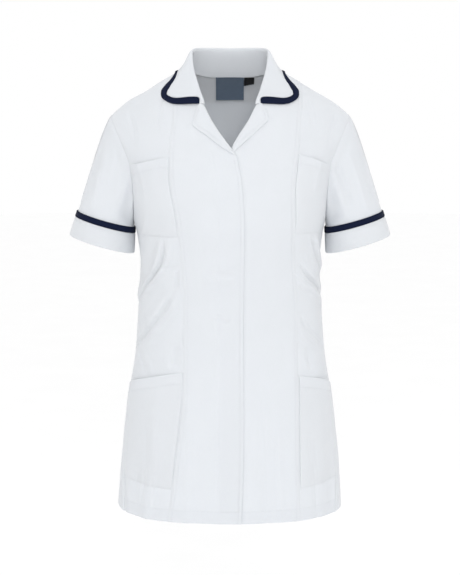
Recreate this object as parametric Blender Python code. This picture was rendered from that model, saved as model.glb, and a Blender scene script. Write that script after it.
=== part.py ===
"""Short-sleeved medical tunic, filled out as worn, with no wearer.

Sizes are millimetres and degrees until wall() turns them into metres.
X runs to the wearer's left, the front faces -Y and Z points up.
The origin is at the middle of the shoulder line, level with the neck points.
A place on the body is a turn, in degrees round from the centre front towards
the wearer's left, and a row, which is the height below the neck points.
"""
import math
from collections import namedtuple

import bmesh
import bpy
import numpy as np

MM = 0.001
CLOTH = 1.6
FACED_CLOTH = 1.8
LAPEL_CLOTH = 1.4
TRIM_CLOTH = 2.4
POCKET_CLOTH = 1.4
LABEL_CLOTH = 1.0
SEAM = 0.3
LAYER_GAP = 0.6
HEM = -720.0
CHEST = -150.0
UNDERARM = -241.0
GORGE = -79.0
BREAK = -128.0
NECK_HALF_WIDTH = 78.0
SHOULDER_HALF_WIDTH = 192.0
CHEST_HALF_WIDTH = 172.0
SHOULDER_REACH = 222.0

Section = namedtuple("Section", "row half_width front back squareness")
BODY_SECTIONS = (
    Section(-720, 187.0, 136, 130, 2.35),
    Section(-640, 181.0, 133, 126, 2.35),
    Section(-560, 172.0, 127, 118, 2.35),
    Section(-500, 162.5, 120, 109, 2.35),
    Section(-440, 154.5, 114, 100, 2.30),
    Section(-380, 150.0, 113, 95, 2.30),
    Section(-310, 147.5, 120, 96, 2.30),
    Section(-240, 156.0, 127, 102, 2.25),
    Section(-150, 172.0, 110, 106, 2.20),
)

ShoulderPoint = namedtuple("ShoulderPoint", "x y z")
SHOULDER_LINE = (
    ShoulderPoint(0, 12, 14),
    ShoulderPoint(78, 6, -2),
    ShoulderPoint(140, 8, -37),
    ShoulderPoint(172, 9, -56),
    ShoulderPoint(190, 10, -71),
    ShoulderPoint(205, 10, -89),
    ShoulderPoint(222, 10, -114),
)

# How full the surface swells between the chest and the shoulder line.
Fullness = namedtuple("Fullness", "front side back")
FULLNESS = Fullness(1.05, 1.05, 1.90)

# The edge of each front: neck seam, roll line, then fly edge or zip edge.
EdgePoint = namedtuple("EdgePoint", "row turn")
ROLL_EDGE = (
    EdgePoint(0, 30.5),
    EdgePoint(-26, 29.3),
    EdgePoint(-52, 26.0),
    EdgePoint(GORGE, 20.3),
    EdgePoint(-98, 15.2),
    EdgePoint(-113, 8.8),
    EdgePoint(BREAK, 0.8),
)
# The wearer's left roll line meets the right one above the break, then runs on to the zip.
ROLL_EDGE_LEFT = (*ROLL_EDGE[:-1], EdgePoint(BREAK, 2.8))
FLY_EDGE = (
    EdgePoint(-137, 5.5),
    EdgePoint(-160, 7.8),
    EdgePoint(-208, 9.5),
    EdgePoint(-268, 10.0),
    EdgePoint(-560, 9.6),
    EdgePoint(-680, 8.2),
    EdgePoint(HEM, 7.5),
)
ZIP_EDGE = (
    EdgePoint(-137, 3.4),
    EdgePoint(HEM, 3.4),
)

PRINCESS_RIGHT = (
    EdgePoint(0, 36.0),
    EdgePoint(-74, 38.5),
    EdgePoint(-130, 45.5),
    EdgePoint(-176, 43.5),
    EdgePoint(-222, 37.8),
    EdgePoint(-318, 35.0),
    EdgePoint(-442, 35.5),
    EdgePoint(-510, 33.5),
    EdgePoint(-614, 35.5),
    EdgePoint(HEM, 39.5),
)
PRINCESS_LEFT = (
    EdgePoint(0, 42.0),
    EdgePoint(-69, 46.5),
    EdgePoint(-135, 50.0),
    EdgePoint(-188, 46.0),
    EdgePoint(-266, 45.5),
    EdgePoint(-376, 51.5),
    EdgePoint(-488, 49.0),
    EdgePoint(-584, 45.5),
    EdgePoint(HEM, 44.0),
)
SIDE_SEAM = (
    EdgePoint(UNDERARM, 90.0),
    EdgePoint(-400, 89.0),
    EdgePoint(-520, 87.0),
    EdgePoint(-600, 79.0),
    EdgePoint(HEM, 71.0),
)
VENT_TOP = -650.0
VENT_TURN = 1.5

# The armhole as it shows from the side, from the shoulder round to the underarm.
SidePoint = namedtuple("SidePoint", "y z")
ARMHOLE_FRONT = (
    SidePoint(-12, -88),
    SidePoint(-32, -114),
    SidePoint(-42, -146),
    SidePoint(-43, -182),
    SidePoint(-35, -214),
    SidePoint(-19, -235),
    SidePoint(0, UNDERARM),
)
ARMHOLE_BACK = (
    SidePoint(30, -92),
    SidePoint(44, -118),
    SidePoint(51, -150),
    SidePoint(50, -186),
    SidePoint(40, -218),
    SidePoint(21, -236),
    SidePoint(0, UNDERARM),
)

ARM_ROWS = (0, -20, -40, -60, GORGE, -92, -103, -113, -121, BREAK, -137, -160, -185, -212, UNDERARM)
BODY_ROWS = 15
FRONT_COLUMNS = 6
SIDE_COLUMNS = 7
BACK_COLUMNS = 20

NECK_BACK_DEPTH = 65.0
NECK_POINT_Y = 6.0
NECK_FADE_ROWS = 14

# How far the wearer's left front sinks under the fly.
FLY_SINK = 3.4
FLY_SINK_REACH = 9.0

Fold = namedtuple("Fold", "turn0 row0 turn1 row1 width depth")
FOLDS = (
    Fold(-45, -262, -62, -330, 15, 3.0),
    Fold(-62, -330, -96, -378, 17, 3.0),
    Fold(-56, -280, -80, -350, 16, -2.2),
    Fold(-40, -346, -68, -418, 20, 2.0),
    Fold(51, -312, 88, -366, 16, 3.2),
    Fold(58, -272, 86, -336, 16, 2.4),
    Fold(54, -336, 84, -398, 18, -2.0),
    Fold(58, -440, 62, -486, 14, -2.0),
    Fold(-41, -430, -41, -478, 12, -2.0),
    Fold(-50, -540, -49, -640, 16, 2.6),
    Fold(-50, -640, -53, -720, 13, 3.2),
    Fold(-60, -640, -62, -720, 16, -2.6),
    Fold(-118, -300, -150, -352, 20, -2.6),
    Fold(118, -306, 148, -360, 20, -2.6),
    Fold(-128, -350, -160, -392, 18, 2.2),
    Fold(126, -356, 158, -398, 18, 2.2),
    Fold(-140, -560, -138, -720, 26, 3.0),
    Fold(142, -575, 140, -720, 26, 3.0),
    Fold(178, -600, 176, -720, 30, -2.6),
    Fold(-20, -600, -19, -720, 28, -2.0),
    Fold(28, -610, 29, -720, 26, -2.0),
    Fold(66, -600, 66, -720, 22, -2.4),
)


def smooth(places, values, at):
    """A smooth curve through a table, with plain slopes at its ends."""
    places = np.asarray(places, float)
    values = np.asarray(values, float)
    if places[0] > places[-1]:
        places = places[::-1]
        values = values[::-1]
    slopes = np.gradient(values, places)
    at = np.clip(np.asarray(at, float), places[0], places[-1])
    low = np.clip(np.searchsorted(places, at) - 1, 0, len(places) - 2)
    span = places[low + 1] - places[low]
    t = (at - places[low]) / span
    start = (1 + 2 * t) * (1 - t) ** 2 * values[low] + t * (1 - t) ** 2 * span * slopes[low]
    end = t * t * (3 - 2 * t) * values[low + 1] - t * t * (1 - t) * span * slopes[low + 1]
    return start + end


def column(table, key, field, at):
    """One column of a table as a smooth curve over another column."""
    return smooth([getattr(row, key) for row in table], [getattr(row, field) for row in table], at)


def ease(value):
    """A soft step from 0 to 1."""
    value = np.clip(value, 0.0, 1.0)
    return value * value * (3 - 2 * value)


def unit(vectors):
    return vectors / np.linalg.norm(vectors, axis=-1, keepdims=True)


def body_section(angle, row):
    """A level section of the body, as x and y at an angle round it."""
    half_width = column(BODY_SECTIONS, "row", "half_width", row)
    front = column(BODY_SECTIONS, "row", "front", row)
    back = column(BODY_SECTIONS, "row", "back", row)
    power = column(BODY_SECTIONS, "row", "squareness", row)
    depth = np.where(np.cos(angle) >= 0, front, back)
    across = np.abs(np.sin(angle) / half_width) ** power
    along = np.abs(np.cos(angle) / depth) ** power
    radius = (across + along) ** (-1 / power)
    return radius * np.sin(angle), -radius * np.cos(angle)


def plain_body(turn, row):
    """The body without folds: level sections, then columns up to the shoulder line."""
    angle = np.radians(np.asarray(turn, float))
    row = np.asarray(row, float) + 0 * angle
    angle = angle + 0 * row
    low = np.minimum(row, CHEST)
    slope_step = 4.0
    x0, y0 = body_section(angle, low)
    x_under, y_under = body_section(angle, low - slope_step)
    t = np.clip((row - CHEST) / -CHEST, 0, 1)
    x1 = SHOULDER_REACH / CHEST_HALF_WIDTH * x0
    y1 = column(SHOULDER_LINE, "x", "y", np.abs(x1))
    z1 = column(SHOULDER_LINE, "x", "z", np.abs(x1))
    ahead = np.cos(angle)
    end_fullness = np.where(ahead > 0, FULLNESS.front, FULLNESS.back)
    fullness = FULLNESS.side + (end_fullness - FULLNESS.side) * ahead ** 2
    rise = fullness * (z1 - CHEST)
    leave = t * (1 - t) ** 2
    arrive = -t * t * (1 - t)
    start = (1 + 2 * t) * (1 - t) ** 2
    end = 1 - start
    x = start * x0 + end * x1 + leave * (x0 - x_under) / slope_step * rise
    y = start * y0 + end * y1 + leave * (y0 - y_under) / slope_step * rise + arrive * (y1 - y0) * fullness
    z = np.where(row < CHEST, row, start * CHEST + end * z1 + leave * rise)
    return np.stack([x, y, z], -1)


def plain_normal(turn, row):
    """The outward direction of the body without folds."""
    step = 0.25
    row = np.minimum(row, -step)
    across = plain_body(turn + step, row) - plain_body(turn - step, row)
    up = plain_body(turn, row + step) - plain_body(turn, row - step)
    return unit(np.cross(across, up))


def fold_height(points):
    """How far the folds stand out, or in, at some points of the body."""
    height = np.zeros(points.shape[:-1])
    for fold in FOLDS:
        start = plain_body(fold.turn0, fold.row0)
        end = plain_body(fold.turn1, fold.row1)
        path = end - start
        along = np.clip((points - start) @ path / (path @ path), 0, 1)
        away = np.linalg.norm(points - start - along[..., None] * path, axis=-1)
        fade = ease(np.minimum(along, 1 - along) * 4 + (0.5 if fold.row1 <= HEM else 0.1))
        height += fold.depth * fade * np.exp(-(away / fold.width) ** 2 * 2)
    return height


def body(turn, row):
    """The outside of the body with its folds."""
    points = plain_body(turn, row)
    return points + plain_normal(turn, row) * fold_height(points)[..., None]


def body_normal(turn, row):
    step = 0.25
    row = np.minimum(row, -step)
    across = body(turn + step, row) - body(turn - step, row)
    up = body(turn, row + step) - body(turn, row - step)
    return unit(np.cross(across, up))


def seek(first, second, axes, turn, row):
    """The turn and row of points given by two of their coordinates."""
    target = np.stack([first, second], -1)
    turn = np.array(turn, float)
    row = np.array(row, float)
    step = 0.01
    for _ in range(40):
        here = plain_body(turn, row)[..., axes]
        by_turn = (plain_body(turn + step, row)[..., axes] - here) / step
        by_row = (here - plain_body(turn, row - step)[..., axes]) / step
        miss = target - here
        area = by_turn[..., 0] * by_row[..., 1] - by_turn[..., 1] * by_row[..., 0]
        move_turn = (miss[..., 0] * by_row[..., 1] - miss[..., 1] * by_row[..., 0]) / area
        move_row = (by_turn[..., 0] * miss[..., 1] - by_turn[..., 1] * miss[..., 0]) / area
        turn = turn + np.clip(move_turn, -4, 4)
        row = np.minimum(row + np.clip(move_row, -8, 8), 0)
    return turn, row


def collection(name):
    made = bpy.data.collections.new(name)
    bpy.context.scene.collection.children.link(made)
    return made


def material(name, colour, roughness):
    """A plain Principled material in the piece's colour."""
    made = bpy.data.materials.new(name)
    made.use_nodes = True
    shader = made.node_tree.nodes["Principled BSDF"]
    shader.inputs["Base Color"].default_value = (*colour, 1.0)
    shader.inputs["Roughness"].default_value = roughness
    shader.inputs["Metallic"].default_value = 0.0
    return made


Finish = namedtuple("Finish", "colour roughness")
WHITE_CLOTH = Finish((0.80, 0.84, 0.89), 0.85)
NAVY_TRIM = Finish((0.010, 0.016, 0.050), 0.80)
SLATE_LABEL = Finish((0.09, 0.13, 0.18), 0.75)
BLACK_TAG = Finish((0.008, 0.008, 0.010), 0.70)
ZIP_WHITE = Finish((0.78, 0.80, 0.83), 0.50)


def wall(name, outer, inner, finish, tube=False):
    """A closed wall between two grids of points, given in millimetres."""
    rows = outer.shape[0] - 1
    columns = outer.shape[1] - 1
    mesh = bmesh.new()
    bmesh.ops.create_grid(mesh, x_segments=columns, y_segments=rows, size=1)
    spot = mesh.verts.layers.int.new("spot")
    for vert in mesh.verts:
        across = round((vert.co.x + 1) / 2 * columns)
        down = round((vert.co.y + 1) / 2 * rows)
        vert[spot] = down * (columns + 1) + across
        vert.co = outer[down, across] * MM
    if tube:
        bmesh.ops.remove_doubles(mesh, verts=mesh.verts, dist=1e-6)
    skin = bmesh.ops.extrude_face_region(mesh, geom=mesh.faces[:], use_keep_orig=True)
    for vert in skin["geom"]:
        if isinstance(vert, bmesh.types.BMVert):
            down, across = divmod(vert[spot], columns + 1)
            vert.co = inner[down, across] * MM
    bmesh.ops.recalc_face_normals(mesh, faces=mesh.faces)
    if mesh.calc_volume(signed=True) < 0:
        bmesh.ops.reverse_faces(mesh, faces=mesh.faces)
    data = bpy.data.meshes.new(name)
    mesh.to_mesh(data)
    mesh.free()
    data.shade_smooth()
    data.set_sharp_from_angle(angle=math.radians(50))
    piece = bpy.data.objects.new(name, data)
    piece.data.materials.append(material(name, *finish))
    TUNIC.objects.link(piece)
    return piece


def pull_in(grid, normals, amount, edges):
    """Moves the named edges of a grid of points inwards along the surface."""
    grid = grid.copy()
    lines = {
        "top": (np.s_[0, :], np.s_[1, :]),
        "bottom": (np.s_[-1, :], np.s_[-2, :]),
        "first": (np.s_[:, 0], np.s_[:, 1]),
        "last": (np.s_[:, -1], np.s_[:, -2]),
    }
    for edge in edges:
        rim, beside = lines[edge]
        along = np.gradient(grid[rim], axis=0)
        inward = unit(np.cross(along, normals[rim]))
        side = np.sign(np.sum(inward * (grid[beside] - grid[rim]), axis=-1, keepdims=True))
        grid[rim] = grid[rim] + inward * side * amount
    return grid


Laid = namedtuple("Laid", "points normals row")


def panel(name, turn, row, finish=WHITE_CLOTH, lift=0.0, thick=CLOTH, edges=("top", "first", "last")):
    """A piece cut from the body's surface, or lying on it at a lift."""
    normals = body_normal(turn, row)
    outer = body(turn, row) + normals * np.broadcast_to(lift, turn.shape)[..., None]
    inner = outer - normals * np.broadcast_to(thick, turn.shape)[..., None]
    outer = pull_in(outer, normals, SEAM / 2, edges)
    inner = pull_in(inner, normals, SEAM / 2, edges)
    wall(name, outer, inner, finish)
    return Laid(outer, normals, row)


def edge_turn(table, row):
    return column(table, "row", "turn", row)


def front_edge(side, row):
    """The turn of a front's edge at each row, for side -1 (right) or 1 (left)."""
    roll = side * edge_turn(ROLL_EDGE if side < 0 else ROLL_EDGE_LEFT, row)
    closing = edge_turn(FLY_EDGE if side < 0 else ZIP_EDGE, row)
    return np.where(row < BREAK - 1, closing, roll)


def princess(side, row):
    table = PRINCESS_RIGHT if side < 0 else PRINCESS_LEFT
    return side * edge_turn(table, row)


def all_rows():
    lower = np.linspace(UNDERARM, HEM, BODY_ROWS + 1)[1:]
    return np.concatenate([np.array(ARM_ROWS, float), lower])


def shoulder_turn(x):
    """The turn at which the shoulder line passes a half width."""
    turns = np.linspace(0, 90, 181)
    return np.interp(x, plain_body(turns, 0.0)[:, 0], turns)


def armhole(side, table, ahead):
    """Turns and rows round one half of an armhole, from the shoulder down."""
    tip = shoulder_turn(SHOULDER_HALF_WIDTH)
    start = plain_body(tip, 0.0)
    ys = np.array([start[1]] + [point.y for point in table])
    zs = np.array([start[2]] + [point.z for point in table])
    length = np.concatenate([[0], np.cumsum(np.hypot(np.diff(ys), np.diff(zs)))])
    at = np.linspace(0, length[-1], len(ARM_ROWS))
    y = smooth(length, ys, at)
    z = smooth(length, zs, at)
    guess = np.linspace(tip, 90, len(at)) if ahead else np.linspace(180 - tip, 90, len(at))
    turn, row = seek(y, z, [1, 2], guess, np.linspace(-4, UNDERARM, len(at)))
    turn[0] = tip if ahead else 180 - tip
    row[0] = 0.0
    turn[-1] = 90.0
    row[-1] = UNDERARM
    return side * turn, row


def side_edge(side, ahead):
    """A body panel's outer edge: armhole, then side seam with its vent."""
    rows = all_rows()[len(ARM_ROWS):]
    arm_turn, arm_row = armhole(side, ARMHOLE_FRONT if ahead else ARMHOLE_BACK, ahead)
    vent = VENT_TURN / 2 * ease((VENT_TOP - rows) / (VENT_TOP - HEM))
    seam = edge_turn(SIDE_SEAM, rows) + (-vent if ahead else vent)
    return np.concatenate([arm_turn, side * seam]), np.concatenate([arm_row, rows])


def blend_columns(first, last, columns):
    share = np.linspace(0, 1, columns + 1)
    return first[:, None] * (1 - share) + last[:, None] * share


def fly_sink(turn, row):
    """How deep the wearer's left front lies under the right one."""
    away = turn - front_edge(-1, row)
    return FLY_SINK * (1 - ease((away - 2.0) / FLY_SINK_REACH))


def make_fronts():
    rows = all_rows()
    for side, name in ((-1, "front_right"), (1, "front_left")):
        turn = blend_columns(front_edge(side, rows), princess(side, rows), FRONT_COLUMNS)
        row = blend_columns(rows, rows, FRONT_COLUMNS)
        lift = -fly_sink(turn, row) if side > 0 else 0.0
        panel(name, turn, row, lift=lift, edges=("top", "last"))


def make_side_fronts():
    """The side fronts, handed back for the pockets that lie on them."""
    rows = all_rows()
    made = {}
    for side, name in ((-1, "side_front_right"), (1, "side_front_left")):
        outer_turn, outer_row = side_edge(side, True)
        turn = blend_columns(princess(side, rows), outer_turn, SIDE_COLUMNS)
        row = blend_columns(rows, outer_row, SIDE_COLUMNS)
        made[side] = panel(name, turn, row)
    return made


def neck_back():
    """Turns and rows of the back neck seam, round from left to right."""
    bend = np.linspace(math.pi / 2, -math.pi / 2, BACK_COLUMNS // 2 + 1)
    x = NECK_HALF_WIDTH * np.sin(bend)
    y = NECK_POINT_Y + NECK_BACK_DEPTH * np.cos(bend)
    guess_turn = np.linspace(150, 210, len(bend))
    guess_row = -8 - 50 * np.cos(bend)
    turn, row = seek(x, y, [0, 1], guess_turn, guess_row)
    hps = 180 - shoulder_turn(NECK_HALF_WIDTH)
    turn[0], turn[-1] = hps, 360 - hps
    row[0], row[-1] = 0.0, 0.0
    return turn, row


def make_back():
    rows = all_rows()
    left_turn, left_row = side_edge(1, False)
    right_turn = 360 - left_turn
    turn = blend_columns(left_turn, right_turn, BACK_COLUMNS)
    share = np.abs(np.linspace(-1, 1, BACK_COLUMNS + 1)) ** 2
    row = rows[:, None] * (1 - share) + left_row[:, None] * share
    neck_turn, neck_row = neck_back()
    first = BACK_COLUMNS // 4
    last = BACK_COLUMNS - first
    top_turn = turn[0].copy()
    top_row = np.zeros(BACK_COLUMNS + 1)
    top_turn[first:last + 1] = neck_turn
    top_row[first:last + 1] = neck_row
    top_turn[:first + 1] = np.linspace(left_turn[0], neck_turn[0], first + 1)
    top_turn[last:] = np.linspace(neck_turn[-1], right_turn[0], first + 1)
    fade = (1 - ease(np.arange(len(rows)) / NECK_FADE_ROWS))[:, None]
    turn = turn + (top_turn - turn[0]) * fade
    row = row + (top_row - row[0]) * fade
    panel("back", turn, row)


def grid_normals(points, tube):
    """Directions square to a grid of points, all on one side of it."""
    down = np.gradient(points, axis=0)
    if tube:
        ring = points[:, :-1]
        across = np.roll(ring, -1, axis=1) - np.roll(ring, 1, axis=1)
        across = np.concatenate([across, across[:, :1]], axis=1)
        down[:, -1] = down[:, 0]
    else:
        across = np.gradient(points, axis=1)
    return unit(np.cross(across, down))


def edge_frame(points, normals, towards):
    """The in-surface direction square to an edge, on the side of some points."""
    along = np.gradient(points, axis=0)
    away = unit(np.cross(along, normals))
    return away * np.sign(np.sum(away * (towards - points), axis=-1, keepdims=True))


# Sleeve hem ring: a tilted oval, and how the sleeve narrows above it.
SLEEVE_HEM_X = 210.5
SLEEVE_HEM_Y = 1.0
SLEEVE_HEM_Z = -284.5
SLEEVE_HEM_SLOPE = 16.0
SLEEVE_LEAN = 10.4
SLEEVE_HALF_WIDTH = 53.6
SLEEVE_HALF_DEPTH = 48.0
SLEEVE_NARROWING = 0.14
SLEEVE_END = 3.6
CUFF_DEPTH = 33.0
CUFF_TURN_IN = 20.0
CUFF_CLOTH = 1.4
CUFF_GAP = 0.5
BAND_WIDTH = 10.0
BAND_CLOTH = 2.0
SLEEVE_STEPS = (0.0, 0.1, 0.24, 0.42, 0.62, 0.82, 1.0)
SLEEVE_START = 60.0
SLEEVE_START_UNDER = 12.0


def sleeve_ring(side, angle, height, grow):
    """A point round the sleeve's lower part: the angle runs out, front, in, back."""
    slope = math.radians(SLEEVE_HEM_SLOPE)
    lean = math.radians(SLEEVE_LEAN)
    outward = np.array([side * math.cos(slope), 0.0, math.sin(slope)])
    forward = np.array([0.0, -1.0, 0.0])
    upward = np.array([-side * math.sin(lean), 0.0, math.cos(lean)])
    centre = np.array([side * SLEEVE_HEM_X, SLEEVE_HEM_Y, SLEEVE_HEM_Z])
    angle, height, grow = np.broadcast_arrays(angle, height, grow)
    angle, height, grow = angle[..., None], height[..., None], grow[..., None]
    half_width = SLEEVE_HALF_WIDTH - SLEEVE_NARROWING * height + grow
    half_depth = SLEEVE_HALF_DEPTH - SLEEVE_NARROWING * 0.5 * height + grow
    middle = centre + upward * height
    return middle + outward * half_width * np.cos(angle) + forward * half_depth * np.sin(angle)


def ring_angles():
    return np.linspace(0, 2 * math.pi, 2 * len(ARM_ROWS) - 1)


def sleeve_points(side):
    """The sleeve's outside, from its armhole seam to its end inside the cuff."""
    front_turn, front_row = armhole(side, ARMHOLE_FRONT, True)
    back_turn, back_row = armhole(side, ARMHOLE_BACK, False)
    turn = np.concatenate([front_turn, back_turn[::-1][1:]])
    row = np.concatenate([front_row, back_row[::-1][1:]])
    seam = body(turn, row)
    seam[-1] = seam[0]
    normals = body_normal(turn, row)
    normals[0] = normals[-1] = unit(normals[0] + normals[-1])
    middle = seam[:-1].mean(axis=0) + np.array([side * 25.0, 0, 0])
    inward = edge_frame(seam, normals, middle)
    inward[0] = inward[-1] = unit(inward[0] + inward[-1])
    angle = ring_angles()
    highness = ease((seam[:, 2] - UNDERARM) / (seam[0, 2] - UNDERARM))[:, None] ** 1.3
    hang = np.stack([side * (0.30 + 0 * angle), -0.30 * np.sin(angle), -1.0 + 0 * angle], -1)
    leave = unit(inward * highness + unit(hang) * (1 - highness))
    lift = np.maximum(0, -np.sum(leave * inward, axis=-1, keepdims=True))
    start = seam + inward * SEAM + normals * lift * 0.8
    reach = SLEEVE_START_UNDER + (SLEEVE_START - SLEEVE_START_UNDER) * highness
    top = CUFF_DEPTH + BAND_WIDTH + 1.0
    end = sleeve_ring(side, angle, top, 0.0)
    arrive = unit(sleeve_ring(side, angle, top - 4.0, 0.0) - end)
    far = np.linalg.norm(end - start, axis=-1, keepdims=True)
    rings = []
    for t in SLEEVE_STEPS:
        first = (1 + 2 * t) * (1 - t) ** 2
        ring = first * start + (1 - first) * end
        ring = ring + t * (1 - t) ** 2 * leave * reach - t * t * (1 - t) * arrive * far
        rings.append(ring)
    for height in (30.0, 15.0, SLEEVE_END):
        rings.append(sleeve_ring(side, angle, height, 0.0))
    return np.stack(rings)


def make_sleeves():
    for side, name in ((-1, "sleeve_right"), (1, "sleeve_left")):
        outer = sleeve_points(side)
        normals = grid_normals(outer, True) * side
        wall(name, outer, outer - normals * CLOTH, WHITE_CLOTH, tube=True)


def section_wall(name, side, face, under, finish):
    """A ring of cloth round the sleeve from a section of growth and height."""
    angle = ring_angles()
    outer = np.stack([sleeve_ring(side, angle, height, grow) for grow, height in face])
    inner = np.stack([sleeve_ring(side, angle, height, grow) for grow, height in under])
    wall(name, outer, inner, finish, tube=True)


def make_cuffs():
    """Turned-back cuffs: an outer layer, a fold at the hem and a turning inside."""
    middle = -CLOTH / 2
    small = CLOTH / 2 + CUFF_GAP
    large = small + CUFF_CLOTH
    face = [(middle + large, CUFF_DEPTH - SEAM / 2), (middle + large, CUFF_DEPTH / 2)]
    under = [(middle + small, CUFF_DEPTH - SEAM / 2), (middle + small, CUFF_DEPTH / 2)]
    for bend in np.radians((0, 45, 90, 135, 180)):
        face.append((middle + large * math.cos(bend), large - large * math.sin(bend)))
        under.append((middle + small * math.cos(bend), large - small * math.sin(bend)))
    face.append((middle - large, CUFF_TURN_IN))
    under.append((middle - small, CUFF_TURN_IN))
    low = CUFF_DEPTH + SEAM / 2
    high = CUFF_DEPTH + BAND_WIDTH
    band_face = [(CUFF_GAP + BAND_CLOTH, high), (CUFF_GAP + BAND_CLOTH, low)]
    band_under = [(CUFF_GAP, high), (CUFF_GAP, low)]
    for side, word in ((-1, "right"), (1, "left")):
        section_wall("cuff_" + word, side, face, under, WHITE_CLOTH)
        section_wall("cuff_band_" + word, side, band_face, band_under, NAVY_TRIM)


# The collar from the centre back to the gorge, on the wearer's left.
# A place up to 90 is an angle round the back neck; past that it counts down the roll line.
# Each band seam and outer edge lies over the body at an x and, behind, a y; in front, a z.
CollarLine = namedtuple("CollarLine", "place roll_x roll_y roll_z band_x band_at edge_x edge_at")
NECK_POINT_PLACE = 90.0
COLLAR_BACK = (
    CollarLine(0, 0, 62, 34, 0, 84, 0, 94),
    CollarLine(22, 25, 58, 34.5, 34, 80.5, 38, 90),
    CollarLine(45, 45, 46, 34.5, 61, 67, 69, 74),
    CollarLine(68, 57, 29, 33.5, 77, 42, 86, 46),
    CollarLine(90, 61, 12, 30, 81, 10, 91, 9),
)
COLLAR_FRONT = (
    CollarLine(90, 61, 12, 30, 81, -4, 91, -10),
    CollarLine(103, 60.5, 2, 20, 86, -18, 97, -18),
    CollarLine(116, 59, -9, 8, 94.5, -29, 105, -27),
    CollarLine(129, 56, -22, -6, 100, -37.5, 110, -37),
    CollarLine(141, 51.5, -35, -20, 98, -42.5, 106, -48),
    CollarLine(151, 46.5, -48, -35, 85, -46, 87, -55.5),
    CollarLine(160.5, 41.5, -59.5, -47, 50.5, -45.2, 50, -54.8),
    CollarLine(168.4, 38.8, -65.5, -54.4, 49.5, -55.0, 49.5, -55.0),
)
COLLAR_BACK_STATIONS = 9
COLLAR_FRONT_STATIONS = 14
COLLAR_LIFT = 3.0
BAND_END_GAP = 0.7
COLLAR_SEAM_GAP = 1.1
ROLL_STAND = 6.0
ROLL_FALL = 7.5
FALL_PUFF = 1.6
STAND_STEPS = (0.0, 0.4, 0.75)
FALL_STEPS = (0.0, 0.12, 0.28, 0.5, 0.75, 1.0)


def bezier(points, t):
    a, b, c, d = points
    s = 1 - t
    return a * s ** 3 + b * 3 * s * s * t + c * 3 * s * t * t + d * t ** 3


def mirrored(half):
    """Both halves of a run of points that starts on the middle line."""
    other = half[::-1] * np.array([-1.0, 1.0, 1.0])
    return np.concatenate([other[:-1], half])


def collar_column(field, at):
    """A column of the collar tables; the back one is mirrored to run level at the middle."""
    sign = -1.0 if field.endswith("_x") else 1.0
    other = COLLAR_BACK[:0:-1]
    places = [-line.place for line in other] + [line.place for line in COLLAR_BACK]
    values = [sign * getattr(line, field) for line in other]
    values += [getattr(line, field) for line in COLLAR_BACK]
    behind = smooth(places, values, np.minimum(at, NECK_POINT_PLACE))
    return np.where(at <= NECK_POINT_PLACE, behind, column(COLLAR_FRONT, "place", field, at))


def collar_lying(spread, place, at):
    """Points on the body under the collar, with the directions out of it."""
    behind = at <= NECK_POINT_PLACE
    turn = np.zeros(len(at))
    row = np.zeros(len(at))
    turn[behind], row[behind] = seek(
        spread[behind], place[behind], [0, 1], 180 - spread[behind] / 2.6, -40 + 0 * at[behind]
    )
    turn[~behind], row[~behind] = seek(
        spread[~behind], place[~behind], [0, 2], spread[~behind] / 2.2, place[~behind] - 10
    )
    return body(turn, row), body_normal(turn, row)


def collar_curves():
    """The neck seam, roll, band seam and outer edge of the collar's left half."""
    back_at = np.linspace(0, NECK_POINT_PLACE, COLLAR_BACK_STATIONS)
    # The stations in front start close together, where the collar crosses the shoulder.
    share = np.linspace(0, 1, COLLAR_FRONT_STATIONS)[1:] ** 1.35
    front_at = NECK_POINT_PLACE + (COLLAR_FRONT[-1].place - NECK_POINT_PLACE) * share
    at = np.concatenate([back_at, front_at])
    bend = np.radians(back_at)
    x = NECK_HALF_WIDTH * np.sin(bend)
    y = NECK_POINT_Y + NECK_BACK_DEPTH * np.cos(bend)
    turn, row = seek(x, y, [0, 1], 180 - np.degrees(bend) / 3, -8 - 50 * np.cos(bend))
    turn[-1] = 180 - shoulder_turn(NECK_HALF_WIDTH)
    row[-1] = 0.0
    front_row = NECK_POINT_PLACE - front_at
    turn = np.concatenate([turn, edge_turn(ROLL_EDGE, front_row)])
    row = np.concatenate([row, front_row])
    roll = np.stack([collar_column(field, at) for field in ("roll_x", "roll_y", "roll_z")], -1)
    band, band_normals = collar_lying(collar_column("band_x", at), collar_column("band_at", at), at)
    edge, edge_normals = collar_lying(collar_column("edge_x", at), collar_column("edge_at", at), at)
    return body(turn, row), body_normal(turn, row), roll, band, band_normals, edge, edge_normals


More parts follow.
